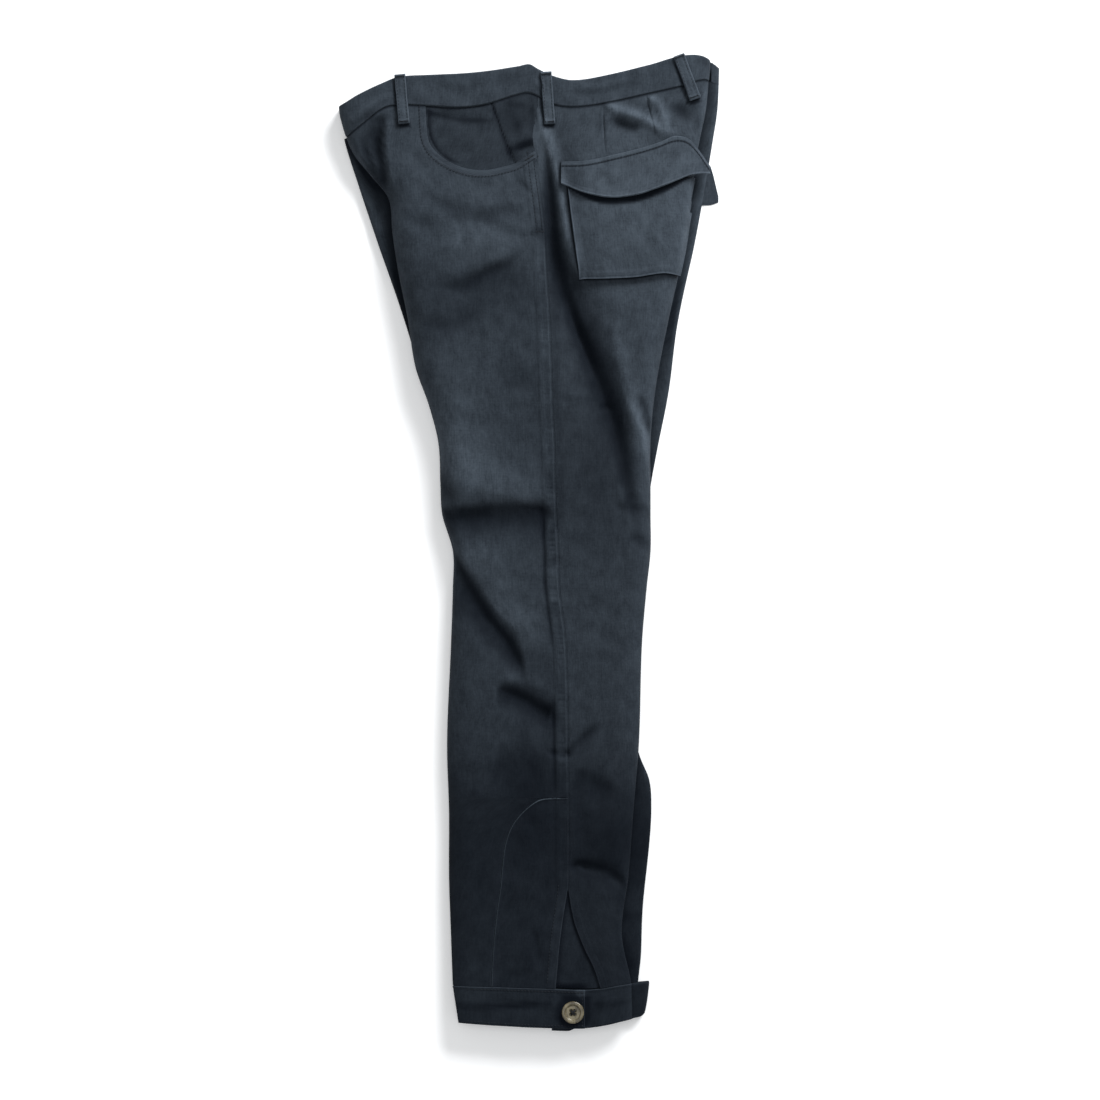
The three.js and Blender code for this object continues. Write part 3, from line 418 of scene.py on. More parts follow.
def beside(x, up, path):
    """Signed distance of places from a path, positive on its left, and how far along it they lie, 0 to 1."""
    lengths = np.hypot(*np.diff(path, axis=0).T)
    starts = np.concatenate([[0], np.cumsum(lengths)])
    nearest = np.full(np.shape(x), np.inf)
    sign = np.ones(np.shape(x))
    share = np.zeros(np.shape(x))
    for (ax, ay), (bx, by), length, start in zip(path[:-1], path[1:], lengths, starts):
        dx = (bx - ax) / length
        dy = (by - ay) / length
        reach = np.clip((x - ax) * dx + (up - ay) * dy, 0, length)
        away = np.hypot(x - ax - dx * reach, up - ay - dy * reach)
        closer = away < nearest
        nearest = np.where(closer, away, nearest)
        sign = np.where(closer, np.sign((up - ay) * dx - (x - ax) * dy), sign)
        share = np.where(closer, (start + reach) / starts[-1], share)
    return nearest * sign, share


def crease(x, up, path, before, after, height, start=0.3, end=0.3):
    """A soft ridge or trough along a path: a bell curve of its own width on each side, uneven along its
    length and narrower and lower over the start and end shares of it. Only places near it are worked out."""
    out = np.zeros(np.shape(x))
    reach = 3 * max(before, after)
    low = np.min(path, axis=0) - reach
    high = np.max(path, axis=0) + reach
    near = (x > low[0]) & (x < high[0]) & (up > low[1]) & (up < high[1])
    aside, share = beside(x[near], up[near], smooth_path(path, 5))
    taper = ease(0, start, share) * ease(1, 1 - end, share)
    width = np.where(aside > 0, before, after) * (0.5 + 0.5 * taper)
    uneven = 0.88 + 0.12 * np.sin(11 * share + path[0][0])
    out[near] = height * taper * uneven * bell(aside, width)
    return out


def folds(x, up):
    """The largest folds, each a bell curve across a straight line and eased out past its ends."""
    total = np.zeros(np.shape(x))
    for (x0, up0), (x1, up1), before, after, height in FOLDS:
        length = math.hypot(x1 - x0, up1 - up0)
        dx = (x1 - x0) / length
        dy = (up1 - up0) / length
        t = ((x - x0) * dx + (up - up0) * dy) / length
        aside = (up - up0) * dx - (x - x0) * dy
        width = np.where(aside > 0, before, after)
        taper = ease(-0.12, 0.25, t) * ease(1.12, 0.75, t)
        total += height * taper * bell(aside, width)
    return total


def ripples(x, up, seed=5, waves=16, amount=1.0):
    """Slight unevenness of worn cloth: a sum of plane sine waves, 14 to 90 mm long, in directions that a
    fixed seed draws, each with a height in proportion to its length."""
    rng = np.random.default_rng(seed)
    total = np.zeros(np.shape(x))
    for length, angle, start in zip(np.geomspace(14, 90, waves), rng.uniform(0, math.pi, waves),
                                    rng.uniform(0, 2 * math.pi, waves)):
        total += length * np.sin((x * math.cos(angle) + up * math.sin(angle)) * 2 * math.pi / length + start)
    return amount * 0.0016 * total


def side_seam(x, up):
    """Relief and painted shade beside the side seam. The allowances stand up on the front side as a band with
    a hollow line at its edge and puckers and rungs of sine waves across it, the seam itself is a pale pressed
    crest with a narrow groove, and below the pocket's mouth two rows of stitches sink in. The shade paints
    the hollow line, the groove, the rows, the rungs and the cloth behind the seam darker, and the puckers,
    the crest and the allowances' edge paler as painted highlight."""
    from_seam = left("side", up) - x
    above_vent = ease(VENT_TOP, VENT_TOP + 14, up)
    inside = above_vent * ease(-0.3, 0.3, from_seam) * ease(ALLOWANCE + 1.4, ALLOWANCE - 0.8, from_seam)
    across = np.sin(math.pi * np.clip(from_seam / ALLOWANCE, 0, 1))
    beat = np.sin(up / 4.4 + 1.7 * np.sin(up / 37)) + 0.6 * np.sin(up / 2.3 + 2 * np.sin(up / 23))
    long_beat = np.sin(up / 10.3 + 1.4 * np.sin(up / 51))
    strong = 0.45 + 0.55 * ease(600, 560, up) * ease(240, 262, up)
    puckers = (0.16 * beat + 0.3 * long_beat) * strong * across * inside
    rungs = ease(0.1, 0.9, np.sin(up * 1.02 + 1.9 * np.sin(up / 13) + 1.2 * np.sin(up / 5.3)))
    rungs = rungs * (0.6 + 0.4 * np.sin(up / 8.7)) * ease(1.2, 2.6, from_seam) * ease(9.6, 8, from_seam)
    rungs = rungs * above_vent * strong * ease(820, 790, up)
    line = np.zeros(np.shape(x))
    for low, high, depth in ALLOWANCE_LINES:
        stretch = ease(low - 8, low + 18, up) * ease(high + 8, high - 18, up)
        line += depth * stretch * bell(from_seam - ALLOWANCE - 1.4, 2.3)
    pressed = above_vent * ease(830, 800, up)
    groove = above_vent * bell(from_seam + 0.9, 0.8)
    crest = pressed * bell(from_seam - 0.9, 0.9)
    edge = pressed * bell(from_seam - 7.2, 1.2)
    near_row, far_row = SEAM_ROWS
    rows = ease(822, 830, up) * ease(918, 910, up) * (bell(from_seam - near_row, 0.7)
                                                      + bell(from_seam - far_row, 0.8))
    behind = 0.3 * ease(480, 560, up) * ease(800, 740, up) * bell(from_seam + 6, 5)
    relief = 0.45 * inside + puckers + 0.15 * crest - 0.7 * line - 0.45 * groove - 0.25 * rows - 0.12 * rungs
    shade = 0.6 * line + 0.22 * groove + 0.4 * rows - 0.8 * puckers + behind + 0.42 * rungs
    return relief, shade - 0.35 * crest - 0.2 * edge


def creases(x, up, table):
    """The sum of a table's creases."""
    total = np.zeros(np.shape(x))
    for each in table:
        total += crease(x, up, *each)
    return total


def form(x, up):
    """Heights that the largest folds and the creases add to the left leg's outer face."""
    return folds(x, up), creases(x, up, CREASES)


def seam_shows(x, up):
    """1 where the side seam isn't covered by the pocket's facing or the waistband."""
    below_mouth = ease(925, 905, up)
    by_seam = ease(905, 925, up) * ease(5, -1, np.abs(x + 9))
    return np.clip(below_mouth + by_seam, 0, 1) * ease(968, 955, up)


def top(x, up):
    """Height of the outer face of the left leg: it rises from the fold edges in quarter ellipses to the loft
    of the leg, with a slight crown between them, and carries the folds, creases, seams and ripples."""
    x = np.asarray(x, float)
    up = np.asarray(up, float)
    front = left("front", up)
    back = left("back", up)
    edge = right("deck", up) + GAP + LOW_HEIGHT
    rise = turn(x - front, left("front_turn", up)) * turn(back - x, left("back_turn", up))
    inside = ease(0, 26, x - front) * ease(0, 22, back - x)
    across = np.clip((2 * x - front - back) / (back - front), -1, 1)
    large, small = form(x, up)
    for path in DARTS:
        small += crease(x, up, path, 0.8, 0.8, -0.9) + crease(x - 2.4, up, path, 2, 2, 0.5)
    small += side_seam(x, up)[0] * seam_shows(x, up)
    edged = ease(0, 9, x - front) * ease(0, 9, back - x)
    crown = CROWN * (1 - across**2)
    return (edge + (left("loft", up) - edge) * rise + crown + (large + ripples(x, up, amount=1.6)) * inside
            + small * edged)


def painted_shade_and_highlight_mask(x, up, z):
    """Painted shade and painted highlight of the upper side: 1 in the deepest creases, which are painted
    darker, and -1 on the sharpest crests, which are painted paler, partly as wear and partly as painted
    highlight.
    """
    large, small = form(x, up)
    seam = side_seam(x, up)[1] * seam_shows(x, up)
    deep = 2.9
    return np.clip(np.tanh(-(0.42 * large + small) / deep) + seam, -1, 1) * ease(12, 16, z)


def fading_and_painted_light_mask(x, up):
    """Broad fading of worn trousers together with painted light and shade: palest over the knee, the seat and
    the pocket flap, and little from the calf down to the ankle band, where the darkening is partly painted
    shade of light falling off down the leg. Each spot is a bell curve round its middle."""
    total = along(FADING_AND_PAINTED_FALLOFF, "up", "amount", up)
    for middle_x, middle_up, wide, high, amount in FADED_AND_PAINTED_LIGHT_SPOTS:
        total = total + amount * bell(x - middle_x, wide) * bell(up - middle_up, high)
    return np.clip(total, LEAST_FADING_AND_SHADE, 2)


def painted_shadow_under_waistband(x, up):
    """Painted shadow: the last millimetres below the waistband are painted darker."""
    return 1 - 0.85 * ease(-3.2, -0.6, up - waist_line("seam", x))


def painted_shadow_under_flap(x, up):
    """Painted shadow: the part of the pocket that its flap covers, and down to a little below it, is painted
    almost as dark as the dye.
    """
    below = along(FLAP, "x", "bottom", x) - up
    reach = 1.6 + 5 * ease(FLAP_LEFT + 1, 62, x) * ease(FLAP_RIGHT - 12, 118, x)
    return 1 - 0.98 * ease(1.45, 0.85, below / reach)


def painted_shadow_beside_loops(x, up):
    """Painted shadow: the cloth beside a belt loop's left edge and below its lower end is painted darker."""
    shade = np.zeros(np.shape(x))
    for ends in LOOPS.values():
        x0, up0, dx, dy, length = loop_frame(ends)
        place = (x - x0) * dx + (up - up0) * dy
        aside = (up - up0) * dx - (x - x0) * dy + LOOP_WIDTH / 2
        past = place - length
        by_edge = ease(-3.4, -1.4, aside) * ease(3, 0, aside) * ease(3, 8, place) * ease(4, 0, past)
        by_end = (ease(5.2, 3, past) * ease(-4, -1, past)
                  * ease(-2.6, -0.6, aside) * ease(LOOP_WIDTH + 1, LOOP_WIDTH - 1, aside))
        shade = np.maximum(shade, np.maximum(0.85 * by_edge, by_end))
    return 1 - 0.92 * shade


def painted_shadow_beside_pocket(x, up):
    """Painted shadow: the panel along the sewn edges of the patch pocket and at the flap's left end is
    painted darker.
    """
    aside = along(POCKET_SIDES, "up", "left", up) - x
    left_edge = ease(2.4, 0.4, aside) * ease(-3, 0, aside) * ease(776, 780, up) * ease(905, 900, up)
    below = along(POCKET_FOOT, "x", "up", x) - up
    foot = ease(2.6, 0.6, below) * ease(-3, 0, below)
    foot = foot * ease(POCKET_LEFT - 4, POCKET_LEFT, x) * ease(POCKET_RIGHT + 5, POCKET_RIGHT, x)
    before = FLAP_LEFT - x
    flap_end = ease(4, 1, before) * ease(-2, 1, before) * ease(872, 880, up) * ease(906, 901, up)
    return 1 - 0.9 * np.maximum(np.maximum(left_edge, foot), flap_end)


def lift(x, up):
    """How far the floor side is lifted over the right pocket, flap, belt loops and button."""
    back = 1.3 * ease(-22, -2, x)
    pocket = back * ease(745, 765, up) * ease(930, 914, up)
    flap = back * ease(822, 842, up) * ease(920, 904, up)
    loops = 1.7 * ease(885, 925, up)
    button = 3.3 * ease(62, 18, np.hypot(x - BUTTON_X, 0.8 * (up - BUTTON_UP)))
    return np.maximum(pocket + flap, np.maximum(loops, button))


def row_height(x, nominal):
    """A row's height, which follows the slanted waist seam and the ankle seam towards the panel's ends."""
    clear = GAP * (1 + 1.5 * ease(-196, -205, x))
    at_waist = (waist_line("seam", x) - clear - WAIST) * ease(HIP, WAIST, nominal)
    at_ankle = (ankle_line("seam", x) + 1.5 * GAP - HEM) * ease(HEM + 70, HEM, nominal)
    return nominal + at_waist + at_ankle


def on_row(edge, nominal):
    """The place of an edge that is given by true height, on rows given by nominal height."""
    x = edge(nominal)
    for _ in range(4):
        x = edge(row_height(x, nominal))
    return x


def normals_of(points, sense):
    """Unit normals of a grid of points, across the differences between its rows and its columns."""
    by_row = np.gradient(points, axis=0)
    by_column = np.gradient(points, axis=1)
    n = np.cross(by_row, by_column) * sense
    return n / np.maximum(np.linalg.norm(n, axis=-1, keepdims=True), 1e-9)


def to_metres(points):
    return (points + np.array([SHIFT_X, SHIFT_Y, 0])) * MM


def new_piece(name, points, faces, material):
    """An object at the origin from points in millimetres and arrays of faces, each array holding faces with
    one number of corners. Edges sharper than 50 degrees stay sharp."""
    mesh = bpy.data.meshes.new(name)
    mesh.vertices.add(len(points))
    mesh.vertices.foreach_set("co", to_metres(points).ravel())
    corners = np.concatenate([group.ravel() for group in faces]).astype(np.int32)
    sizes = np.concatenate([np.full(len(group), group.shape[1]) for group in faces])
    mesh.loops.add(len(corners))
    mesh.loops.foreach_set("vertex_index", corners)
    mesh.polygons.add(len(sizes))
    mesh.polygons.foreach_set("loop_start", (np.cumsum(sizes) - sizes).astype(np.int32))
    mesh.polygons.foreach_set("use_smooth", np.ones(len(sizes), bool))
    mesh.update(calc_edges=True)
    mesh.validate()
    mesh.set_sharp_from_angle(angle=math.radians(50))
    mesh.materials.append(material)
    piece = bpy.data.objects.new(name, mesh)
    bpy.context.scene.collection.objects.link(piece)
    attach(piece, "root")
    return piece


# The masks: pale edges that are partly painted highlight, fading that also carries painted shade, and painted
# shade in creases with painted highlight on crests.
MASKS = ("WearAndHighlight", "FadingAndPaintedShading", "PaintedShadeAndHighlight")


class Cloth:
    """Walls of cloth gathered into one mesh, with their cloth coordinates and a mask of their worn edges,
    which also carries painted highlight.
    """

    def __init__(self):
        self.points = []
        self.faces = []
        self.flat = []
        self.worn = []
        self.count = 0

    def wall(self, outer, inner, sense, keep=None, flat=None, worn=None):
        """A closed wall between two grids: both faces where keep is true, and a rim round them wherever a
        kept square has no kept neighbour."""
        rows, columns = outer.shape[:2]
        keep = np.ones((rows - 1, columns - 1), bool) if keep is None else keep
        if flat is None:
            across = np.linalg.norm(np.diff(outer, axis=1), axis=-1)
            u = np.concatenate([np.zeros((rows, 1)), np.cumsum(across, axis=1)], axis=1)
            flat = np.stack([u, outer[..., 1]], axis=-1)
        worn = np.zeros((rows, columns)) if worn is None else worn
        at = self.count + np.arange(rows * columns).reshape(rows, columns)
        under = at + rows * columns

        def quads(a, b, c, d, chosen):
            made = np.stack([a, b, c, d] if sense > 0 else [a, d, c, b], axis=-1)
            self.faces.append(made[chosen])

        quads(at[:-1, :-1], at[1:, :-1], at[1:, 1:], at[:-1, 1:], keep)
        quads(under[:-1, :-1], under[:-1, 1:], under[1:, 1:], under[1:, :-1], keep)
        padded = np.pad(keep, 1)
        before = padded[1:-1, :-1]
        after = padded[1:-1, 1:]
        quads(at[:-1], under[:-1], under[1:], at[1:], after & ~before)
        quads(at[:-1], at[1:], under[1:], under[:-1], before & ~after)
        before = padded[:-1, 1:-1]
        after = padded[1:, 1:-1]
        quads(at[:, :-1], at[:, 1:], under[:, 1:], under[:, :-1], after & ~before)
        quads(at[:, :-1], under[:, :-1], under[:, 1:], at[:, 1:], before & ~after)
        self.points += [outer.reshape(-1, 3), inner.reshape(-1, 3)]
        self.flat += [flat.reshape(-1, 2)] * 2
        self.worn += [worn.ravel()] * 2
        self.count += 2 * rows * columns

    def layer(self, points, sense, outwards, thickness=CLOTH, **more):
        """The wall whose outer face lies a distance out from a grid of points."""
        n = normals_of(points, sense)
        out = np.broadcast_to(np.asarray(outwards, float), points.shape[:2])[..., None]
        self.wall(points + n * out, points + n * (out - thickness), sense, **more)

    def object(self, name, material, own_fading_and_shade=lambda x, up: 1.0):
        """The walls as one object, without the points that no face uses. Its masks say where the cloth is
        worn at its edges, with painted highlight too, how much fading it has and how much painted shade
        darkens it, and where it gets painted shade in a crease or painted highlight on a crest.
        own_fading_and_shade is the piece's own share of the fading and of its painted shade."""
        faces = np.concatenate(self.faces)
        used, faces = np.unique(faces, return_inverse=True)
        faces = faces.reshape(-1, 4)
        points = np.concatenate(self.points)[used]
        piece = new_piece(name, points, [faces], material)
        flat = np.concatenate(self.flat)[used] * MM
        layer = piece.data.uv_layers.new(name="Cloth")
        layer.uv.foreach_set("vector", flat[faces.ravel()].ravel().astype(np.float32))
        x, up, z = points.T
        values = {
            "WearAndHighlight": np.concatenate(self.worn)[used],
            "FadingAndPaintedShading": own_fading_and_shade(x, up) * fading_and_painted_light_mask(x, up),
            "PaintedShadeAndHighlight": painted_shade_and_highlight_mask(x, up, z),
        }
        for mask in MASKS:
            attribute = piece.data.attributes.new(mask, "FLOAT", "POINT")
            attribute.data.foreach_set("value", values[mask].astype(np.float32))
        return piece


def near_columns(depth):
    """Distances in from a seam: close together beside it, then even to the given depth of each row."""
    near = np.array([0, 0.3, 0.7, 1.2, 1.9, 2.8, 3.8, 5, 6.3, 7.6, 9, 10.4, 11.6, 12.6, 13.5, 14.6, 16])
    scale = np.minimum(1, 0.5 * depth / near[-1])[:, None]
    far = np.linspace(0, 1, FAR_COLUMNS + 1)[1:]
    start = near[-1] * scale
    return np.concatenate([near * scale, start + (depth[:, None] - start) * far], axis=1)


def rounded(distance, radius):
    """How far an outer face sinks within a radius of its cut edge, as a quarter circle."""
    t = np.clip(1 - distance / radius, 0, 1)
    return radius * (1 - np.sqrt(1 - t * t))


FAR_COLUMNS = 42
CLOSE_COLUMNS = np.array([-2.4, -1.2, -0.4, 0.4, 1.2, 2.4])  # beside a dart or a pocket's edge
TURN_ANGLES = np.radians(np.arange(84, -1, -6))
ROUND_ANGLES = np.radians([15, 30, 45, 60, 75, 90])


def levels(leg, seat):
    """Nominal heights of a panel's rows, with the given numbers of them up the leg and over the seat. They
    are close together at the top of the shin panel, at the pocket's foot and below the waistband."""
    return np.unique(np.concatenate([
        np.linspace(HEM, 234, 68), np.linspace(234, 244, 16), np.linspace(244, 776, leg),
        np.linspace(776, 783, 8), np.linspace(783, 943, seat), np.linspace(943, WAIST, 8),
    ]))


ROWS = levels(193, 58)
CLOSE_ROWS = levels(320, 76)


def inner_edge(part, nominal):
    """Where a panel's hidden inner layer ends: at the inseam, and above the crotch at the rise seam."""
    side = -1 if part == "front" else 1
    edge = on_row(lambda up: left(part, up), nominal)
    up = row_height(edge, nominal)
    inseam = (left("front", up) + left("back", up)) / 2 + side * SEAM
    rise = edge - side * along(RISE, "up", part, up)
    further = np.minimum(inseam, rise) if side < 0 else np.maximum(inseam, rise)
    return np.where(up <= CROTCH, inseam, further)


def left_panel(part, seam_line, rows, lines=()):
    """Grid of a left panel's outer face and each point's distance from the seam: rows run from the seam
    across the upper side, round the fold edge and back under it to the inner edge. Each of the given lines
    gets close columns of its own."""
    side = -1 if part == "front" else 1
    edge = on_row(lambda up: left(part, up), rows)
    seam = on_row(seam_line, rows)
    edge_up = row_height(edge, rows)
    width = left(part + "_turn", edge_up)[:, None]
    low = (right("deck", edge_up) + GAP)[:, None]
    depth = side * (edge - side * width[:, 0] - seam)
    inward = near_columns(depth)
    for line in lines:
        off = side * (line(row_height(seam, rows)) - seam)[:, None] + CLOSE_COLUMNS
        inward = np.concatenate([inward, np.clip(off, 0.1, depth[:, None] - 0.5)], axis=1)
    inward = np.sort(inward, axis=1)
    edge = edge[:, None]
    upper = np.concatenate([
        seam[:, None] + side * inward, edge - side * width * (1 - np.cos(TURN_ANGLES)),
    ], axis=1)
    up = row_height(upper, rows[:, None])
    face = np.stack([upper, up, top(upper, up)], axis=-1)
    round_x = edge - side * LOW_ROUND * (1 - np.cos(ROUND_ANGLES))
    round_z = low + LOW_HEIGHT * (1 - np.sin(ROUND_ANGLES))
    start = edge - side * LOW_ROUND
    inner = inner_edge(part, rows)[:, None]
    flat_x = start + (inner - start) * np.linspace(0, 1, 9)[1:]
    under_x = np.concatenate([round_x, flat_x], axis=1)
    under_z = np.concatenate([round_z, np.broadcast_to(low, flat_x.shape)], axis=1)
    under = np.stack([under_x, row_height(under_x, rows[:, None]), under_z], axis=-1)
    points = np.concatenate([face, under], axis=1)
    distance = np.abs(points[..., 0] - seam[:, None])
    distance[:, upper.shape[1]:] = FAR
    return points, distance


def right_panel(part, rows):
    """Grid of a right panel's outer face: rows run from the inner edge on top of the right leg, round the
    fold edge and over the floor side to the side seam."""
    side = -1 if part == "front" else 1
    edge = on_row(lambda up: right(part, up), rows)
    deck = right("deck", row_height(edge, rows))[:, None]
    seam = on_row(lambda up: left("side", up) + side * SEAM, rows)[:, None]
    inner = inner_edge(part, rows)[:, None]
    start = (edge - side * LOW_ROUND)[:, None]
    floor = lift(start, row_height(start, rows[:, None]))
    angles = np.radians(np.arange(90, -90, -12))
    across = np.linspace(0, 1, 25)
    xs = np.concatenate([
        inner + (start - inner) * across[:-1], start + side * LOW_ROUND * np.cos(angles),
        start + (seam - start) * across,
    ], axis=1)
    up = row_height(xs, rows[:, None])
    n = len(across) - 1
    z = np.concatenate([
        np.broadcast_to(deck, (len(rows), n)), (deck + floor) / 2 + (deck - floor) / 2 * np.sin(angles),
        lift(xs[:, n + len(angles):], up[:, n + len(angles):]),
    ], axis=1)
    exposed = ease(10, 0, np.abs(xs - start)) * np.concatenate([
        np.ones((len(rows), n + len(angles))), np.zeros((len(rows), len(across))),
    ], axis=1)
    z = z + 2 * ripples(xs + 40, up, seed=9) * exposed * ease(0.5, 4, z)
    return np.stack([xs, up, z], axis=-1)


def inside_outline(x, up, outline):
    """True inside a closed outline, where a level line from the place crosses it an odd number of times."""
    crossings = np.zeros(np.shape(x), int)
    for (ax, ay), (bx, by) in zip(outline, np.roll(outline, -1, axis=0)):
        if ay == by:
            continue
        between = (up > min(ay, by)) & (up <= max(ay, by))
        crossings += between & (x < ax + (up - ay) * (bx - ax) / (by - ay))
    return crossings % 2 == 1


def mouth_outline():
    """Closed outline of the pocket's mouth, with its straight sides at the side seam and above the waist."""
    return np.array(list(smooth_path(MOUTH, 3)) + MOUTH_CORNERS, float)


def mouth_rim(cloth, step=1.6):
    """The turned edge of the pocket's mouth: a strip along the curve, thicker by one layer, with a rolled
    inner edge and an outer edge that sinks to its row of stitches."""
    line = smooth_path(MOUTH, step)
    outward = ahead_and_out(line)[1]
    q = np.array([0, 0.08, 0.25, 0.6, 1.1, 2, 3.2, 4.4, 5.5, 6.2, 6.8, 7.4, 8.2, 9])
    place = line[:, None] + outward[:, None] * q[:, None]
    base = top(place[..., 0], place[..., 1])
    puff = 0.26 + 0.1 * np.sin(math.pi * np.clip(q / 6.4, 0, 1))
    beat = np.sin(np.arange(len(line))[:, None] * step / 1.9)
    pucker = 0.07 * beat * np.sin(math.pi * np.clip(q / RIM, 0, 1))
    raised = puff * ease(RIM, RIM - 1.6, q) - rounded(q, 0.45) - 0.3 * ease(RIM - 0.4, 9, q) + pucker
    outer = np.concatenate([place, (base + raised)[..., None]], axis=-1)
    inner = np.concatenate([place, base[..., None] - 1.1], axis=-1)
    cloth.wall(outer, inner, 1, worn=np.broadcast_to(0.12 * ease(1.6, 0.2, q), base.shape))


def seam_wear(distance):
    """Mask of the paler cloth along a seam's or an edge's crest."""
    return 0.5 * ease(1.8, 0.3, distance)


def left_front(material):
    """Front panel: above the shin panel it ends at the side seam, and beside it at the curved shin seam. The
    pocket's mouth is left open under its rim."""
    def seam_line(up):
        return np.where(up > SHIN_TOP, left("side", up) - SEAM, along(SHIN_SEAM, "up", "x", up) - GAP)
    points, distance = left_panel("front", seam_line, CLOSE_ROWS)
    cloth = Cloth()
    middle = (points[:-1, :-1] + points[1:, 1:]) / 2
    centre = np.array([-58, 945])
    away = mouth_outline() - centre
    under_rim = 3.4
    outline = centre + away * (1 + under_rim / np.linalg.norm(away, axis=1, keepdims=True))
    keep = ~(inside_outline(middle[..., 0], middle[..., 1], outline) & (middle[..., 2] > 12))
    upper = np.where(distance < FAR, 1, 0)
    cloth.layer(points, 1, -rounded(distance, 0.5) * upper, keep=keep, worn=0.4 * seam_wear(distance) * upper)
    mouth_rim(cloth)
    return cloth.object("left_front_panel", material, lambda x, up: painted_shadow_under_waistband(x, up) * painted_shadow_beside_loops(x, up))


def vent_or_seam(edge, up):
    """One edge of the vent, and above the vent the side seam."""
    return np.where(up < VENT_TOP, along(VENT, "up", edge, up), left("side", up))


def left_shin(material):
    """Shin panel: rows run from the side seam, or the vent's front edge, to the curved seam. Its edge is
    turned under and stands a little proud of the front panel."""
    rows = ROWS[ROWS < SHIN_TOP - 0.2]
    edge = on_row(lambda up: vent_or_seam("front", up) - SEAM, rows)
    seam = on_row(lambda up: along(SHIN_SEAM, "up", "x", up), rows)
    t = np.linspace(0, 1, 47)
    t = t - 0.09 * np.sin(2 * math.pi * t)
    x = edge[:, None] + (seam - edge)[:, None] * t
    up = row_height(x, rows[:, None])
    to_seam = np.abs(beside(x, up, smooth_path(list(zip(SHIN_SEAM["x"], SHIN_SEAM["up"])), 3))[0])
    to_edge = np.abs(x - edge[:, None])
    proud = 0.45 * ease(3.2, 0.8, to_seam) - rounded(to_seam, 0.5)
    pressed = 0.35 * ease(11, 9, to_edge) * ease(165, 140, up) - rounded(to_edge, 0.6)
    points = np.stack([x, up, top(x, up)], axis=-1)
    cloth = Cloth()
    # The pale line along the shin seam is partly painted highlight.
    worn = (1.7 + 1.6 * ease(232, 240, up)) * ease(1.2, 0.2, to_seam)
    worn += 0.5 * ease(1.4, 0.2, to_edge) * ease(165, 140, up)
    cloth.layer(points, 1, proud + pressed, worn=worn)

    def pressed_edge(x, up):
        """The allowance turned back beside the vent is paler, and unevenly so."""
        to_vent = along(VENT, "up", "front", up) - x
        uneven = 0.8 + 0.3 * np.sin(up / 4.1 + 2 * np.sin(up / 17))
        return 1 + 0.75 * uneven * ease(11, 8, to_vent) * ease(160, 130, up)
    return cloth.object("left_shin_panel_cloth", material, pressed_edge)


def left_back(material):
    """Back panel, from the side seam or the vent's back edge round the back fold."""
    lines = [lambda up, path=path: np.interp(up, *np.array(path[::-1]).T[::-1]) for path in DARTS]
    lines.append(lambda up: along(POCKET_SIDES, "up", "left", up) - 1)
    points, distance = left_panel("back", lambda up: vent_or_seam("back", up) + SEAM, ROWS, lines)
    cloth = Cloth()
    upper = np.where(distance < FAR, 1, 0)
    at_vent = ease(155, 130, points[..., 1])
    raised = 0.3 * ease(9, 7, distance) * at_vent
    cloth.layer(points, -1, (raised - rounded(distance, 0.5)) * upper,
                worn=(0.25 + 0.4 * at_vent) * seam_wear(distance) * upper)
    return cloth.object("left_back_panel", material,
                        lambda x, up: painted_shadow_under_waistband(x, up) * painted_shadow_beside_pocket(x, up) * painted_shadow_beside_loops(x, up))


def facing_height(x, t, clear):
    """Heights of a facing from its curved foot to a little below the waist seam, t from 0 to 1."""
    foot = np.interp(x, FACING_FOOT["x"], FACING_FOOT["up"])
    return foot + (waist_line("seam", x) - clear - foot) * t


def left_facing(material):
    """Cloth behind the pocket's mouth, a little below the front. Its side piece starts at a slanted seam."""
    x = np.linspace(FACING_FOOT["x"][0], FACING_FOOT["x"][-1], 84)[None, :]
    up = facing_height(x, np.linspace(0, 1, 62)[:, None], 0.4)
    x = np.broadcast_to(x, up.shape)
    slant = beside(x, up, SIDE_PIECE)[0]
    stepped = 0.75 * ease(-0.8, 0.8, slant) - 1.1 * bell(slant + 0.9, 1.1)
    dent = crease(x, up, [(-30, 911), (-22, 914), (-10, 921)], 4, 3.5, -2.6)
    hollow = crease(x, up, [(-122, 950), (-98, 948), (-60, 944)], 7, 7, -1.5)
    z = top(x, up) - 1.9 + stepped + dent + hollow
    cloth = Cloth()
    cloth.layer(np.stack([x, up, z], axis=-1), 1, 0, worn=0.3 * ease(1.6, 0.2, np.abs(slant - 0.6)))

    def painted_facing_shade(x, up):
        """Painted shade of the facing: along its slanted seam, under the waistband and inside the mouth's
        edge, with its side piece a little darker.
        """
        shade = creases(x, up, FACING_SHADE)
        side_piece = ease(-1, 2, beside(x, up, SIDE_PIECE)[0])
        return FACING_FADING_IN_PAINTED_SHADE * (1 - 0.18 * side_piece) * painted_shadow_under_waistband(x, up) * np.clip(1 - shade, LEAST_FADING_AND_SHADE, 1)
    return cloth.object("left_pocket_facing_cloth", material, painted_facing_shade)


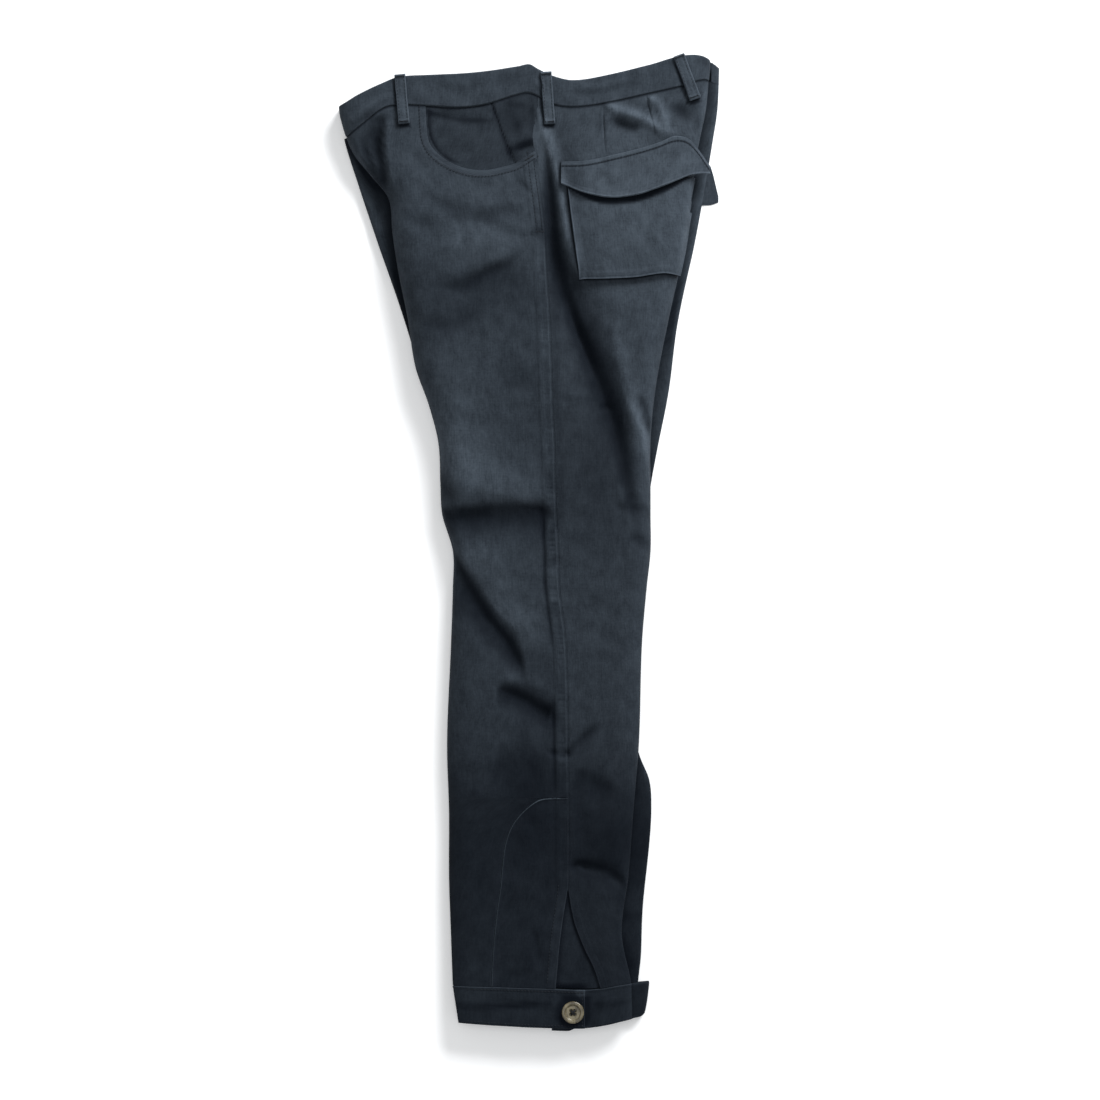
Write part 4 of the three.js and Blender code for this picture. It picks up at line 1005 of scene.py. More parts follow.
def pocket_height(x, up):
    """Height of the patch pocket's outer face, and each place's distance from its sewn edges: the patch is
    full in the middle, and its turned edges are one layer thicker."""
    x0 = along(POCKET_SIDES, "up", "left", up)
    x1 = along(POCKET_SIDES, "up", "right", up)
    foot = along(POCKET_FOOT, "x", "up", x)
    to_edge = np.minimum(np.minimum(x - x0, x1 - x), up - foot)
    full = 1.7 * ease(0, 30, x - x0) * ease(0, 30, x1 - x) * ease(0, 34, up - foot) * ease(880, 846, up)
    turned = 0.35 * ease(8.6, 7.2, to_edge)
    near_row, far_row = POCKET_ROWS
    stitched = 0.2 * bell(to_edge - near_row, 0.7) + 0.2 * bell(to_edge - far_row, 0.8)
    z = top(x, up) + full + 0.5 * ripples(x, up, seed=12) + GAP + CLOTH + 0.5 + turned - stitched
    return z, to_edge


def left_pocket(material):
    """Patch pocket: a patch between its four edges, laid on the back panel."""
    s = np.linspace(0, 1, 90)[None, :]
    s = s - 0.06 * np.sin(2 * math.pi * s)
    t = np.linspace(0, 1, 66)[:, None]
    foot = along(POCKET_FOOT, "x", "up", POCKET_LEFT + (POCKET_RIGHT - POCKET_LEFT) * s)
    up = POCKET_TOP + (foot - POCKET_TOP) * np.sin(t * math.pi / 2) ** 1.2
    x0 = along(POCKET_SIDES, "up", "left", up)
    x = x0 + (along(POCKET_SIDES, "up", "right", up) - x0) * s
    z, to_edge = pocket_height(x, up)
    cloth = Cloth()
    worn = (0.3 + 0.2 * np.sin(up / 9) * np.sin(x / 7)) * ease(1.8, 0.3, to_edge)
    cloth.layer(np.stack([x, up, z], axis=-1), -1, -rounded(np.maximum(to_edge, 0), 1.1),
                thickness=CLOTH + 0.9, worn=worn)
    return cloth.object("left_back_pocket_cloth", material, painted_shadow_under_flap)


def flap_face(x, v):
    """Place of the flap's outer face: v runs from its sewn edge to its free edge, which lifts off the pocket
    in uneven waves and hangs past the back fold in a soft curve."""
    up = along(FLAP, "x", "top", x) * (1 - v) + along(FLAP, "x", "bottom", x) * v
    rim = left("back", up) - 16
    past = np.maximum(0, x - rim)
    on_panel = top(np.minimum(x, rim), up) - 0.2 * past - 0.004 * past * past
    wave = 0.5 * np.sin(x / 13) + 0.35 * np.sin(x / 7.3 + 1)
    middle = 0.35 + 0.65 * ease(FLAP_LEFT, 50, x) * ease(FLAP_RIGHT + 4, 130, x)
    off = 1.0 + 1.6 * ease(0, 0.3, v) + middle * (5.2 + wave) * v ** 1.6
    return np.stack([x, up, on_panel + off + BAND], axis=-1)


def flap_height(x, up):
    """Height of the flap's raised strip at a place seen from above."""
    sewn = along(FLAP, "x", "top", x)
    return flap_face(x, (sewn - up) / (sewn - along(FLAP, "x", "bottom", x)))[..., 2] + 0.5


def left_flap(material):
    """Flap: two layers with a raised sewn strip along the top and a rolled free edge."""
    x = np.broadcast_to(np.linspace(FLAP_LEFT, FLAP_RIGHT, 130)[None, :], (40, 130))
    v = np.linspace(0, 1, 40)[:, None]
    v = np.broadcast_to(v - 0.06 * np.sin(2 * math.pi * v), x.shape)
    points = flap_face(x, v)
    depth = along(FLAP, "x", "top", x) - along(FLAP, "x", "bottom", x)
    from_top = depth * v
    from_free = depth * (1 - v)
    from_ends = np.minimum(x - FLAP_LEFT, FLAP_RIGHT - x)
    edge = np.minimum(np.minimum(from_top, from_free), from_ends)
    strip = 0.55 * ease(5.4, 4.0, from_top) - 0.2 * bell(from_top - 5.2, 0.8)
    roll = 0.35 * ease(2.4, 1.0, from_free) - 0.18 * bell(from_free - 5.6, 0.7)
    raised = strip + roll - rounded(edge, 0.7) + 0.4 * ripples(x, points[..., 1], seed=14)
    scallop = 1 + 0.4 * np.sin(x / 3.1) * np.sin(x / 7.7 + 1)
    # The flap's pale scalloped free edge is partly painted highlight.
    worn = 2.2 * scallop * ease(2.0, 0.2, from_free) + 0.5 * ease(4.6, 2.6, from_top)
    worn += 0.5 * ease(1.3, 0.2, from_ends)
    cloth = Cloth()
    cloth.layer(points, 1, raised, thickness=BAND, worn=worn)

    def stitched(x, up):
        """Painted shade of the groove along the sewn strip's lower edge."""
        return 1 - 0.6 * bell(along(FLAP, "x", "top", x) - up - 5.3, 0.9)
    return cloth.object("left_pocket_flap_cloth", material, stitched)


def columns(first, last, step):
    return np.linspace(first, last, max(2, int(abs(last - first) / step) + 1))


def column(level, v, x, z):
    """One column of a band's grid: x, the band's levels there at its shares v of its height, and z."""
    up = level(x, v)
    return np.stack([np.broadcast_to(x, up.shape), up, np.broadcast_to(z, up.shape)], axis=-1)


def left_waistband(material):
    """Left half of the waistband: from the centre back seam over the upper side, round the front fold and on
    under the right half. Each row keeps its share of the height between the seam and the upper edge."""
    v = np.array([0, 0.012, 0.03, 0.06, 0.1, 0.16, 0.24, 0.33, 0.43, 0.53, 0.63, 0.72, 0.8, 0.87, 0.92, 0.96,
                  0.985, 1])[:, None]

    def put(x, z):
        return column(waist_level, v, x, z)
    back = left("back", waist_level(170, v))
    front = left("front", waist_level(-210, v))
    low = right("deck", WAIST) + GAP
    under_back = [put(back - 8, low), put(back - LOW_ROUND, low)]
    for a in (30, 60):
        x = back - LOW_ROUND * (1 - math.sin(math.radians(a)))
        under_back.append(put(x, low + LOW_HEIGHT * (1 - math.cos(math.radians(a)))))
    span = front - back
    middle = np.linspace(0, 1, 210)
    x = back + span * (middle - 0.035 * np.sin(2 * math.pi * middle))
    up = waist_level(x, v)
    face = np.stack([x, up, top(x, up)], axis=-1)
    fold = [(0, 9), (0, 6.5), (0, 4), (0.5, 2.4), (1.4, 1.1), (3, 0.3)]
    round_front = [put(front + inward, z) for inward, z in fold]
    lap = [put(front + LOW_ROUND + d, 0) for d in (0, 6, 12, 20, 28, LAP - LOW_ROUND)]
    points = np.concatenate(under_back + [face] + round_front + lap, axis=1)
    height = waist_line("top", points[..., 0]) - waist_line("seam", points[..., 0])
    from_seam = height * v
    from_top = height * (1 - v)
    on_top = np.clip((points[..., 2] - 9) / 6, 0, 1)
    puff = 0.5 * np.sin(math.pi * np.clip(v, 0, 1)) * on_top
    out = 1.0 * on_top + puff - rounded(from_seam, 1.1) * on_top - rounded(from_top, 1.0)
    # The waistband's pale upper edge is partly painted highlight.
    worn = (0.45 * ease(1.6, 0.2, from_top) + 0.35 * ease(2.2, 0.4, from_seam)) * on_top
    cloth = Cloth()
    cloth.layer(points, 1, out, thickness=BAND - 0.1, worn=worn)
    return cloth.object("waistband_left_cloth", material, painted_shadow_beside_loops)


def right_waistband(material):
    """Right half of the waistband: from the centre back seam round the back fold and over the floor to the
    front, above the left half's lap."""
    v = np.linspace(0, 1, 9)[:, None]
    back = right("back", waist_level(178, v))
    front = left("front", waist_level(-210, v)) + 4.8
    deck = right("deck", WAIST)
    floor = lift(back, WAIST)
    start = back - LOW_ROUND
    angles = np.radians(np.arange(90, -91, -15))
    xs = np.concatenate([back - 8, start + LOW_ROUND * np.cos(angles), start + (front - start)
                         * np.linspace(0, 1, 90)[1:]], axis=1)
    round_z = (deck + floor) / 2 + (deck - floor) / 2 * np.sin(angles)
    z = np.concatenate([np.full(back.shape, deck), round_z, np.broadcast_to(floor, (len(v), 89))], axis=1)
    cloth = Cloth()
    points = np.stack([xs, waist_level(xs, v), z], axis=-1)
    cloth.layer(points, -1, 0, thickness=BAND, worn=np.broadcast_to(0.4 * ease(0.06, 0, 1 - v), z.shape))
    return cloth.object("waistband_right_cloth", material)


def left_ankle_band(material):
    """Ankle band: from its upper end, which carries the button, round the front fold, under the leg, round
    the back fold and on to its lower end beneath the upper one."""
    v = np.array([0, 0.015, 0.04, 0.08, 0.14, 0.22, 0.32, 0.42, 0.52, 0.62, 0.72, 0.81, 0.88, 0.93, 0.965,
                  0.988, 1])[:, None]

    def put(x, z):
        return column(ankle_level, v, x, z)

    def turned_under(edge, sense, degrees):
        return [put(edge + sense * LOW_ROUND * (1 - math.cos(math.radians(a))),
                    low + LOW_HEIGHT * (1 - math.sin(math.radians(a)))) for a in degrees]
    front = left("front", HEM) + 6 * (1 - v)
    back = left("back", HEM) + 1 - v
    low = right("deck", HEM) + GAP
    inner = (left("front", HEM) + left("back", HEM)) / 2

    def face(x, up):
        return top(np.clip(x, front + 0.3, back - 0.3), up) + 0.2
    ends = np.array([0, 0.2, 0.6, 1.2, 2, 3.2])
    turn_start = -60
    upper_x = np.concatenate([OVERLAP_END - ends, columns(OVERLAP_END - 5, turn_start, 2.2)])[None, :]
    turn_x = turn_start + (front - turn_start) * np.sin(np.linspace(0, math.pi / 2, 22))[None, 1:]
    x = np.concatenate([np.broadcast_to(upper_x, (len(v), upper_x.shape[1])), turn_x], axis=1)
    up = ankle_level(x, v)
    over = np.stack([x, up, face(x, up)], axis=-1)
    below = turned_under(front, 1, (20, 45, 70))
    first = front + LOW_ROUND
    last = back - LOW_ROUND
    below += [put(first + (inner - first) * t, low) for t in (0, 0.33, 0.66, 1)]
    below += [put(inner + (last - inner) * t, low) for t in (0.33, 0.66, 1)]
    below += turned_under(back, -1, (70, 45, 20))
    back_x = back - (back - 68) * (1 - np.cos(np.linspace(0, math.pi / 2, 12)))[None, :]
    under_x = np.concatenate([columns(66, UNDERLAP_END + 3, 2.2), UNDERLAP_END + ends[::-1]])[None, :]
    x = np.concatenate([back_x, np.broadcast_to(under_x, (len(v), under_x.shape[1]))], axis=1)
    up = ankle_level(x, v) - 2.6 * (1 - v) * ease(32, 24, x)
    end = np.stack([x, up, face(x, up) - 1.75 * ease(62, 46, x)], axis=-1)
    points = np.concatenate([over] + below + [end], axis=1)
    height = ankle_line("seam", points[..., 0]) - ankle_line("hem", points[..., 0])
    from_seam = height * (1 - v)
    from_hem = height * v
    n = over.shape[1]
    from_end = np.full(points.shape[:2], FAR)
    from_end[:, :n] = OVERLAP_END - over[..., 0]
    from_end[:, -x.shape[1]:] = x - UNDERLAP_END
    sunk = crease(points[..., 0], points[..., 1], [(-62, 28), (-30, 26), (4, 25)], 3.5, 4.5, -1.3)
    sunk[:, n:] = 0
    lip = 0.3 * ease(2.6, 1.2, from_seam) - 0.15 * bell(from_seam - 3, 0.7)
    edge = np.minimum(np.minimum(from_seam, from_hem), from_end)
    out = lip + sunk - rounded(edge, 0.7)
    worn = 0.85 * ease(1.5, 0.2, from_seam) + 0.3 * ease(1.5, 0.2, from_hem) + 0.6 * ease(1.5, 0.2, from_end)
    cloth = Cloth()
    cloth.layer(points, 1, out, thickness=BAND, worn=worn)

    def creased(x, up):
        """Painted shade of the band, along its middle, round the button and beside the overlap's end, and a
        painted highlight on the pale upper corner of that end."""
        shade = creases(x, up, BAND_SHADE)
        shade += 0.9 * ease(21, 14, np.hypot(x - BUTTON_X + 1, up - BUTTON_UP))
        corner = ease(7, 2.5, np.hypot(x - OVERLAP_END + 4.5, up - 40.5))
        return 1.6 * np.clip(1 - shade, LEAST_FADING_AND_SHADE, 1) + 3 * corner
    return cloth.object("left_ankle_band_cloth", material, creased)


def right_ankle_band(material):
    """Ankle band of the right leg, whose outer side lies on the floor round its own button."""
    v = np.linspace(0, 1, 15)[:, None]
    front = right("front", HEM) + 3 * (1 - v)
    back = right("back", HEM) + 5 + 7 * np.sqrt(v)
    deck = right("deck", HEM)
    inner = (left("front", HEM) + left("back", HEM)) / 2

    def floor_row(x, extra):
        up = ankle_level(x, v)
        return np.stack([x, up, lift(x, up) + extra * ease(62, 46, x)], axis=-1)

    def put(x, z):
        return column(ankle_level, v, x, z)
    start = front + LOW_ROUND
    parts = [floor_row(OVERLAP_END + (start - OVERLAP_END) * np.linspace(0, 1, 60), 0)]
    for a in np.radians(np.arange(-75, 91, 15)):
        parts.append(put(start - LOW_ROUND * math.cos(a), deck / 2 * (1 + math.sin(a))))
    panel = right("back", HEM) - LOW_ROUND
    last = back - LOW_ROUND
    for x in ((start + inner) / 2, inner, (inner + panel) / 2, panel, last):
        parts.append(put(x, deck))
    for a in np.radians(np.arange(75, -91, -15)):
        parts.append(put(last + LOW_ROUND * math.cos(a), deck / 2 * (1 + math.sin(a))))
    parts.append(floor_row(last + (UNDERLAP_END - last) * np.linspace(0, 1, 50)[1:], 1.75))
    points = np.concatenate(parts, axis=1)
    height = ankle_line("seam", points[..., 0]) - ankle_line("hem", points[..., 0])
    edge = np.minimum(height * v, height * (1 - v))
    cloth = Cloth()
    cloth.layer(points, -1, -rounded(edge, 0.6), thickness=BAND, worn=0.7 * ease(1.5, 0.2, edge))
    return cloth.object("right_ankle_band_cloth", material)


def gusset(name, face, sense, depth, material):
    """Cloth behind an open vent, a depth under the panels' faces, with a soft hollow down its middle."""
    rows = np.linspace(HEM + 0.8, 153, 48)[:, None]
    s = np.linspace(0, 1, 26)[None, :]
    first = along(VENT, "up", "front", rows) - 7
    last = along(VENT, "up", "back", rows) + 7
    x = first + (last - first) * s
    up = row_height(x, rows)
    hollow = 0.5 * np.sin(math.pi * s) * ease(140, 70, rows) + 1.2 * ease(51, 46.5, rows) * ease(50, 36, x)
    cloth = Cloth()
    cloth.layer(np.stack([x, up, face(x, up)], axis=-1), sense, -depth - hollow)

    def corner(x, up):
        """Painted shade in the vent's foot, behind the ankle band's edge, and along both edges that lie over
        it.
        """
        foot = ease(51, 46, up) * ease(50, 36, x)
        first = bell(x - along(VENT, "up", "front", up), 3.2)
        last = bell(x - along(VENT, "up", "back", up), 3) * ease(48, 70, up)
        return np.clip(1.2 - 1.2 * foot - first - last, LEAST_FADING_AND_SHADE, 2)
    return cloth.object(name, material, corner)


def loop_frame(ends):
    """A belt loop's first end, its unit direction and its length."""
    (x0, up0), (x1, up1) = ends
    length = math.hypot(x1 - x0, up1 - up0)
    return x0, up0, (x1 - x0) / length, (up1 - up0) / length, length


def loop_place(ends):
    """A belt loop's grid of places, how far each lies from its first end, its length, and how far each lies
    from its middle."""
    x0, up0, dx, dy, length = loop_frame(ends)
    t = np.concatenate([[0, 0.004, 0.01, 0.02], np.linspace(0.04, 0.96, 40), [0.98, 0.99, 0.996, 1]])[:, None]
    half = np.array([0.05, 0.16, 0.26, 0.34, 0.41, 0.46, 0.49, 0.5])
    s = np.concatenate([-half[::-1], half])[None, :]
    x = x0 + dx * length * t - dy * LOOP_WIDTH * s
    up = up0 + dy * length * t + dx * LOOP_WIDTH * s
    return x, up, t * length, length, np.abs(s) * LOOP_WIDTH


def loop_rise(place, length, off_middle):
    """How far a loop's outer face stands off the band: it bows between its sewn ends, bulges where it is
    folded under, and its two pressed edges are stitched down."""
    bow = 1.6 + 1.3 * np.sin(math.pi * np.clip(place / length, 0, 1)) ** 0.7
    end = np.minimum(place, length - place)
    knuckle = 1.2 * bell(end - 2.2, 1.8)
    from_side = LOOP_WIDTH / 2 - off_middle
    ribs = 0.12 * np.cos(off_middle * 1.35) - 0.1 * bell(from_side - LOOP_ROW, 0.5)
    return 1.0 + bow + knuckle + ribs


def upper_loop(name, ends, material):
    """Belt loop over the upper side: a folded strip that bows off the band between its sewn ends."""
    x, up, place, length, off_middle = loop_place(ends)
    end = np.minimum(place, length - place)
    from_side = LOOP_WIDTH / 2 - off_middle
    out = loop_rise(place, length, off_middle) - rounded(from_side, 1.0) - rounded(end, 1.0)
    points = np.stack([x, up, top(x, up)], axis=-1)
    n = normals_of(points, 1)
    outer = points + n * np.broadcast_to(out, x.shape)[..., None]
    lifted = np.where(end < 4, 0.6, 1.4 * np.sin(math.pi * np.clip(place / length, 0, 1)) ** 0.7 + 0.6)
    inner = points + n * np.broadcast_to(lifted, x.shape)[..., None]
    worn = 0.8 * ease(1.3, 0.1, from_side) + 0.9 * ease(2.4, 0.3, end)
    cloth = Cloth()
    cloth.wall(outer, inner, 1, worn=np.broadcast_to(worn, x.shape))
    # The belt loops are paler than the cloth round them.
    return cloth.object(name, material, lambda x, up: LOOP_PALENESS)


def lower_loop(name, ends, material):
    """Belt loop of the right side, pressed flat on the floor."""
    x, up, place, length, off_middle = loop_place(ends)
    from_side = LOOP_WIDTH / 2 - off_middle
    end = np.minimum(place, length - place)
    z = np.broadcast_to(1.1 - rounded(np.minimum(from_side, end), 0.5), x.shape)
    cloth = Cloth()
    cloth.wall(np.stack([x, up, z], axis=-1), np.stack([x, up, np.zeros(x.shape)], axis=-1), 1)
    return cloth.object(name, material)


def painted_shade_below_left_leg(x, up):
    """Painted shade of the right leg close to the left one's fold edges, and in its own creases where it
    shows.
    """
    front = 0.9 * bell(x - left("front", up), 11) * ease(680, 740, up)
    back = 0.7 * bell(x - left("back", up), 7)
    return np.clip(1 - front - back - creases(x, up, LOWER_PAINTED_CREASE_SHADE), 0.05, 1)


def right_panels(material):
    """Front, shin and back panels of the right leg. The front has its pocket's mouth cut out and leaves its
    place to the shin panel."""
    rows = np.append(ROWS[:-1:2], ROWS[-1])
    cloths = {"front": Cloth(), "shin": Cloth(), "back": Cloth()}
    points = right_panel("front", rows)
    x, up, z = np.moveaxis((points[:-1, :-1] + points[1:, 1:]) / 2, -1, 0)
    shin = list(zip(SHIN_SEAM["x"], SHIN_SEAM["up"])) + [(40, SHIN_TOP), (40, 30)]
    on_floor = z < 0.5 * (lift(x, up) + 4.6)
    in_shin = inside_outline(x, up, np.array(shin, float)) & on_floor
    in_mouth = inside_outline(x, up, mouth_outline()) & on_floor
    cloths["shin"].layer(points, 1, 0, keep=in_shin)
    cloths["front"].layer(points, 1, 0, keep=~(in_mouth | in_shin))
    cloths["back"].layer(right_panel("back", rows), -1, 0)
    made_shin = cloths["shin"].object("right_shin_panel_cloth", material)
    made_front = cloths["front"].object("right_front_panel", material, painted_shade_below_left_leg)
    return made_front, made_shin, cloths["back"].object("right_back_panel", material, painted_shade_below_left_leg)


def right_facing(material):
    """Cloth behind the mouth of the right pocket."""
    x, t = np.meshgrid(np.linspace(-130, 0, 40), np.linspace(0, 1, 26))
    up = facing_height(x, t, 0.8)
    cloth = Cloth()
    cloth.layer(np.stack([x, up, lift(x, up) + 1.3], axis=-1), 1, CLOTH)
    return cloth.object("right_pocket_facing_cloth", material)


def right_pocket(material):
    """Patch pocket of the right side, flat under the panel that is lifted over it."""
    s, t = np.meshgrid(np.linspace(0, 1, 40), np.linspace(0, 1, 34))
    roof = POCKET_TOP - 2
    foot = along(POCKET_FOOT, "x", "up", POCKET_LEFT + (POCKET_RIGHT - POCKET_LEFT) * s)
    up = roof + (foot - roof) * t
    x0 = along(POCKET_SIDES, "up", "left", up)
    x = x0 + (along(POCKET_SIDES, "up", "right", up) - x0) * s
    z = lift(x, up) - GAP
    cloth = Cloth()
    cloth.wall(np.stack([x, up, z], axis=-1), np.stack([x, up, np.maximum(z - CLOTH, 0.02)], axis=-1), -1)
    return cloth.object("right_back_pocket_cloth", material)


def right_flap(material):
    """Flap of the right side, on the floor. Its end past the back fold waves a little."""
    first, last = RIGHT_FLAP["x"][0], RIGHT_FLAP["x"][-1]
    x, v = np.meshgrid(np.linspace(first, last, 60), np.linspace(0, 1, 22))
    up = along(RIGHT_FLAP, "x", "top", x) * (1 - v) + along(RIGHT_FLAP, "x", "bottom", x) * v
    free = np.minimum(np.minimum(v, 1 - v) * 40, np.minimum(x - first, last - x))
    wave = 0.6 * ease(last - 16, last, x) * (1 + np.sin(up / 6))
    outer = np.stack([x, up, CLOTH + wave - rounded(free, 0.5)], axis=-1)
    cloth = Cloth()
    cloth.wall(outer, np.stack([x, up, wave], axis=-1), 1, worn=0.6 * ease(1.6, 0.2, free))
    return cloth.object("right_pocket_flap_cloth", material)


class Thread:
    """Strands of thread gathered into one mesh. Each is a short tube with five sides, thickest in the middle,
    whose ends dip into the cloth."""

    def __init__(self):
        self.strands = []

    def strand(self, middle, ahead, out, half, radius):
        """Adds a strand at each middle, half its length on either side of it."""
        aside = np.cross(out, ahead)
        share = np.array([-1, -0.82, -0.35, 0.35, 0.82, 1]) * half
        thick = np.array([0.3, 0.85, 1, 1, 0.85, 0.3]) * radius
        rise = np.array([-1.3, 0.1, 0.55, 0.55, 0.1, -1.3]) * radius
        angle = np.arange(5) * 2 * math.pi / 5
        centre = middle[:, None] + ahead[:, None] * share[:, None] + out[:, None] * rise[:, None]
        spoke = out[:, None] * np.cos(angle)[:, None] + aside[:, None] * np.sin(angle)[:, None]
        self.strands.append(centre[:, :, None] + spoke[:, None] * thick[:, None, None])

    def row(self, path, face, length=2.5, gap=0.9, across=False, radius=0.27):
        """Stitches on a face along a path, or side by side across it as in a bar tack."""
        middle = smooth_path(path, gap if across else length + gap)
        ahead, outward = ahead_and_out(middle)
        if across:
            ahead = -outward
        x, up = middle.T
        by_x = face(x + 0.5, up) - face(x - 0.5, up)
        by_up = face(x, up + 0.5) - face(x, up - 0.5)
        out = np.stack([-by_x, -by_up, np.ones(len(x))], axis=1)
        out /= np.linalg.norm(out, axis=1, keepdims=True)
        ahead = np.column_stack([ahead, ahead[:, 0] * by_x + ahead[:, 1] * by_up])
        ahead /= np.linalg.norm(ahead, axis=1, keepdims=True)
        self.strand(np.stack([x, up, face(x, up)], axis=1), ahead, out, length / 2, radius)

    def object(self, name, material):
        points = np.concatenate(self.strands)
        at = np.arange(points.size // 3).reshape(points.shape[:3])
        beside_it = np.roll(at, -1, axis=2)
        sides = np.stack([at[:, :-1], at[:, 1:], beside_it[:, 1:], beside_it[:, :-1]], axis=-1).reshape(-1, 4)
        ends = np.concatenate([at[:, 0], at[:, -1, ::-1]])
        return new_piece(name, points.reshape(-1, 3), [sides, ends], material)


def raised_face(height):
    """A face that stands a height over that of the left leg, as where an edge is turned under."""
    return lambda x, up: top(x, up) + height


def sew(material):
    """The rows of stitches and the bar tacks of the upper side: along the pocket's mouth and the side seam
    below it, on the patch pocket, the flap, the belt loops, the vent and the ankle band."""
    thread = Thread()

    def tack(path, face, length=1.8, gap=0.55):
        thread.row(path, face, length=length, gap=gap, across=True)

    def row(x, up, face):
        thread.row(np.stack([x, up], axis=1), face)
    line = smooth_path(MOUTH, 6)
    thread.row(line + 6.5 * ahead_and_out(line)[1], raised_face(0.55))
    up = np.linspace(829, 911, 9)
    for inward in SEAM_ROWS:
        row(left("side", up) - inward, up, raised_face(0.05))
    tack([(-9.5, 829), (-1.2, 829.5)], top)
    tack([(-20, 903), (-12, 908)], raised_face(0.3))

    def on_pocket(x, up):
        return pocket_height(x, up)[0] - 0.05
    for inward in POCKET_ROWS:
        up = np.linspace(883, 781 + inward, 9)
        x = np.linspace(POCKET_LEFT + inward, POCKET_RIGHT - inward, 9)
        row(along(POCKET_SIDES, "up", "left", up) + inward, up, on_pocket)
        row(along(POCKET_SIDES, "up", "right", up) - inward, up, on_pocket)
        row(x, along(POCKET_FOOT, "x", "up", x) + inward, on_pocket)
    x = np.linspace(FLAP_LEFT + 2, FLAP_RIGHT - 2, 13)
    row(x, along(FLAP, "x", "top", x) - 4.6, flap_height)
    for ends in LOOPS.values():
        x0, up0, dx, dy, length = loop_frame(ends)
        ahead = np.array([dx, dy])
        aside = np.array([-dy, dx])

        def on_loop(x, up):
            place = (x - x0) * dx + (up - up0) * dy
            off_middle = np.abs((up - up0) * dx - (x - x0) * dy)
            return top(x, up) + loop_rise(place, length, off_middle)
        for off in (LOOP_ROW - LOOP_WIDTH / 2, LOOP_WIDTH / 2 - LOOP_ROW):
            thread.row([(x0, up0) + ahead * t * length + aside * off for t in (0.06, 0.5, 0.94)], on_loop)
        for t in (0.045, 0.955):
            middle = (x0, up0) + ahead * t * length
            half = 0.4 * LOOP_WIDTH * aside
            tack([middle - half, middle, middle + half], on_loop, 1.6, 0.6)
    up = np.linspace(50, 150, 9)
    row(along(VENT, "up", "front", up) - 9.6, up, raised_face(0.3))
    x = np.linspace(-80, OVERLAP_END - 3, 9)
    row(x, ankle_line("seam", x) - 2.6, raised_face(0.5))
    row(x, ankle_line("hem", x) + 3, raised_face(0.25))
    x = OVERLAP_END - 2.6
    thread.row([(x, ankle_line("hem", x) + 3), (x, 24), (x, ankle_line("seam", x) - 3)], raised_face(0.25))
    return thread.object("topstitching", material)


def button(name, node, down, horn, cotton):
    """Four-hole button as rings round its middle: a dished face inside a raised rim, a rounded edge and a
    flat back. Its holes are pits with steep walls, and strands of thread cross between them."""
    low, high = np.array(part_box(node)) / MM
    middle = (low + high) / 2 - np.array([SHIFT_X, SHIFT_Y, 0])
    radius = (high[0] - low[0]) / 2
    height = high[2] - low[2]
    spokes = 96
    round_r = radius - 1.1 * (1 - np.sin(np.radians([0, 15, 30, 45, 60, 75, 90])))
    face_r = np.concatenate([np.linspace(0.3, 5.2, 23), np.linspace(5.6, radius - 1.3, 14), round_r])[:, None]
    angle = np.arange(spokes) * 2 * math.pi / spokes
    x = face_r * np.cos(angle)
    y = face_r * np.sin(angle)
    crown = 0.12 * np.sin(math.pi * np.clip((face_r - radius + 3.6) / 3.2, 0, 1))
    dished = 0.12 - crown + 1.1 * ease(radius - 3.0, radius - 4.4, face_r)
    to_hole = np.hypot(np.abs(x) - 2.0, np.abs(y) - 2.0)
    pits = (height - 1.3) * ease(2.0, 1.5, to_hole)
    z = height - dished - rounded(radius - face_r, 1.1) - pits
    back_r = np.array([radius, radius - 0.1, radius - 0.5, radius * 0.5, 0.3])[:, None]
    back_z = np.broadcast_to(np.array([0.5, 0.15, 0, 0, 0])[:, None], (5, spokes))
    x = np.concatenate([x, back_r * np.cos(angle)])
    y = np.concatenate([y, back_r * np.sin(angle)])
    z = np.concatenate([z, back_z])
    points = np.stack([x, y, z], axis=-1).reshape(-1, 3)
    points = np.concatenate([points, [[0, 0, z[0, 0]], [0, 0, 0]]])
    at = np.arange(x.size).reshape(x.shape)
    beside_it = np.roll(at, -1, axis=1)
    sides = np.stack([at[:-1], at[1:], beside_it[1:], beside_it[:-1]], axis=-1).reshape(-1, 4)
    front = np.stack([np.full(spokes, x.size), at[0], beside_it[0]], axis=-1)
    back = np.stack([np.full(spokes, x.size + 1), beside_it[-1], at[-1]], axis=-1)
    if down:
        points[:, 2] = height - points[:, 2]
        sides, front, back = sides[:, ::-1], front[:, ::-1], back[:, ::-1]
    points += [middle[0], middle[1], low[2]]
    made = new_piece(name, points, [sides, front, back], horn)
    thread = Thread()
    facing = -1.0 if down else 1.0
    level = low[2] + (0.95 if down else height - 0.95)
    for turned, raised in ((math.pi / 4, -0.2), (-math.pi / 4, 0.15)):
        ahead = np.array([math.cos(turned), math.sin(turned), 0])
        apart = np.array([-0.7, 0, 0.7])[:, None] * np.array([-ahead[1], ahead[0], 0])
        place = np.array([middle[0], middle[1], level + facing * raised]) + apart
        thread.strand(place, np.tile(ahead, (3, 1)), np.tile([0, 0, facing], (3, 1)), 3.6, 0.45)
    thread.object(name + "_thread", cotton)
    return made


# Finishes

def add(tree, kind, inputs=(), **settings):
    """A new shader node with its settings and inputs. An input is a value for its socket, or another node's
    output to link to it."""
    node = tree.nodes.new("ShaderNode" + kind)
    for name, value in settings.items():
        setattr(node, name, value)
    for key, value in dict(inputs).items():
        if isinstance(value, bpy.types.NodeSocket):
            tree.links.new(value, node.inputs[key])
        else:
            node.inputs[key].default_value = value
    return node


def maths(tree, operation, *values):
    return add(tree, "Math", enumerate(values), operation=operation).outputs[0]


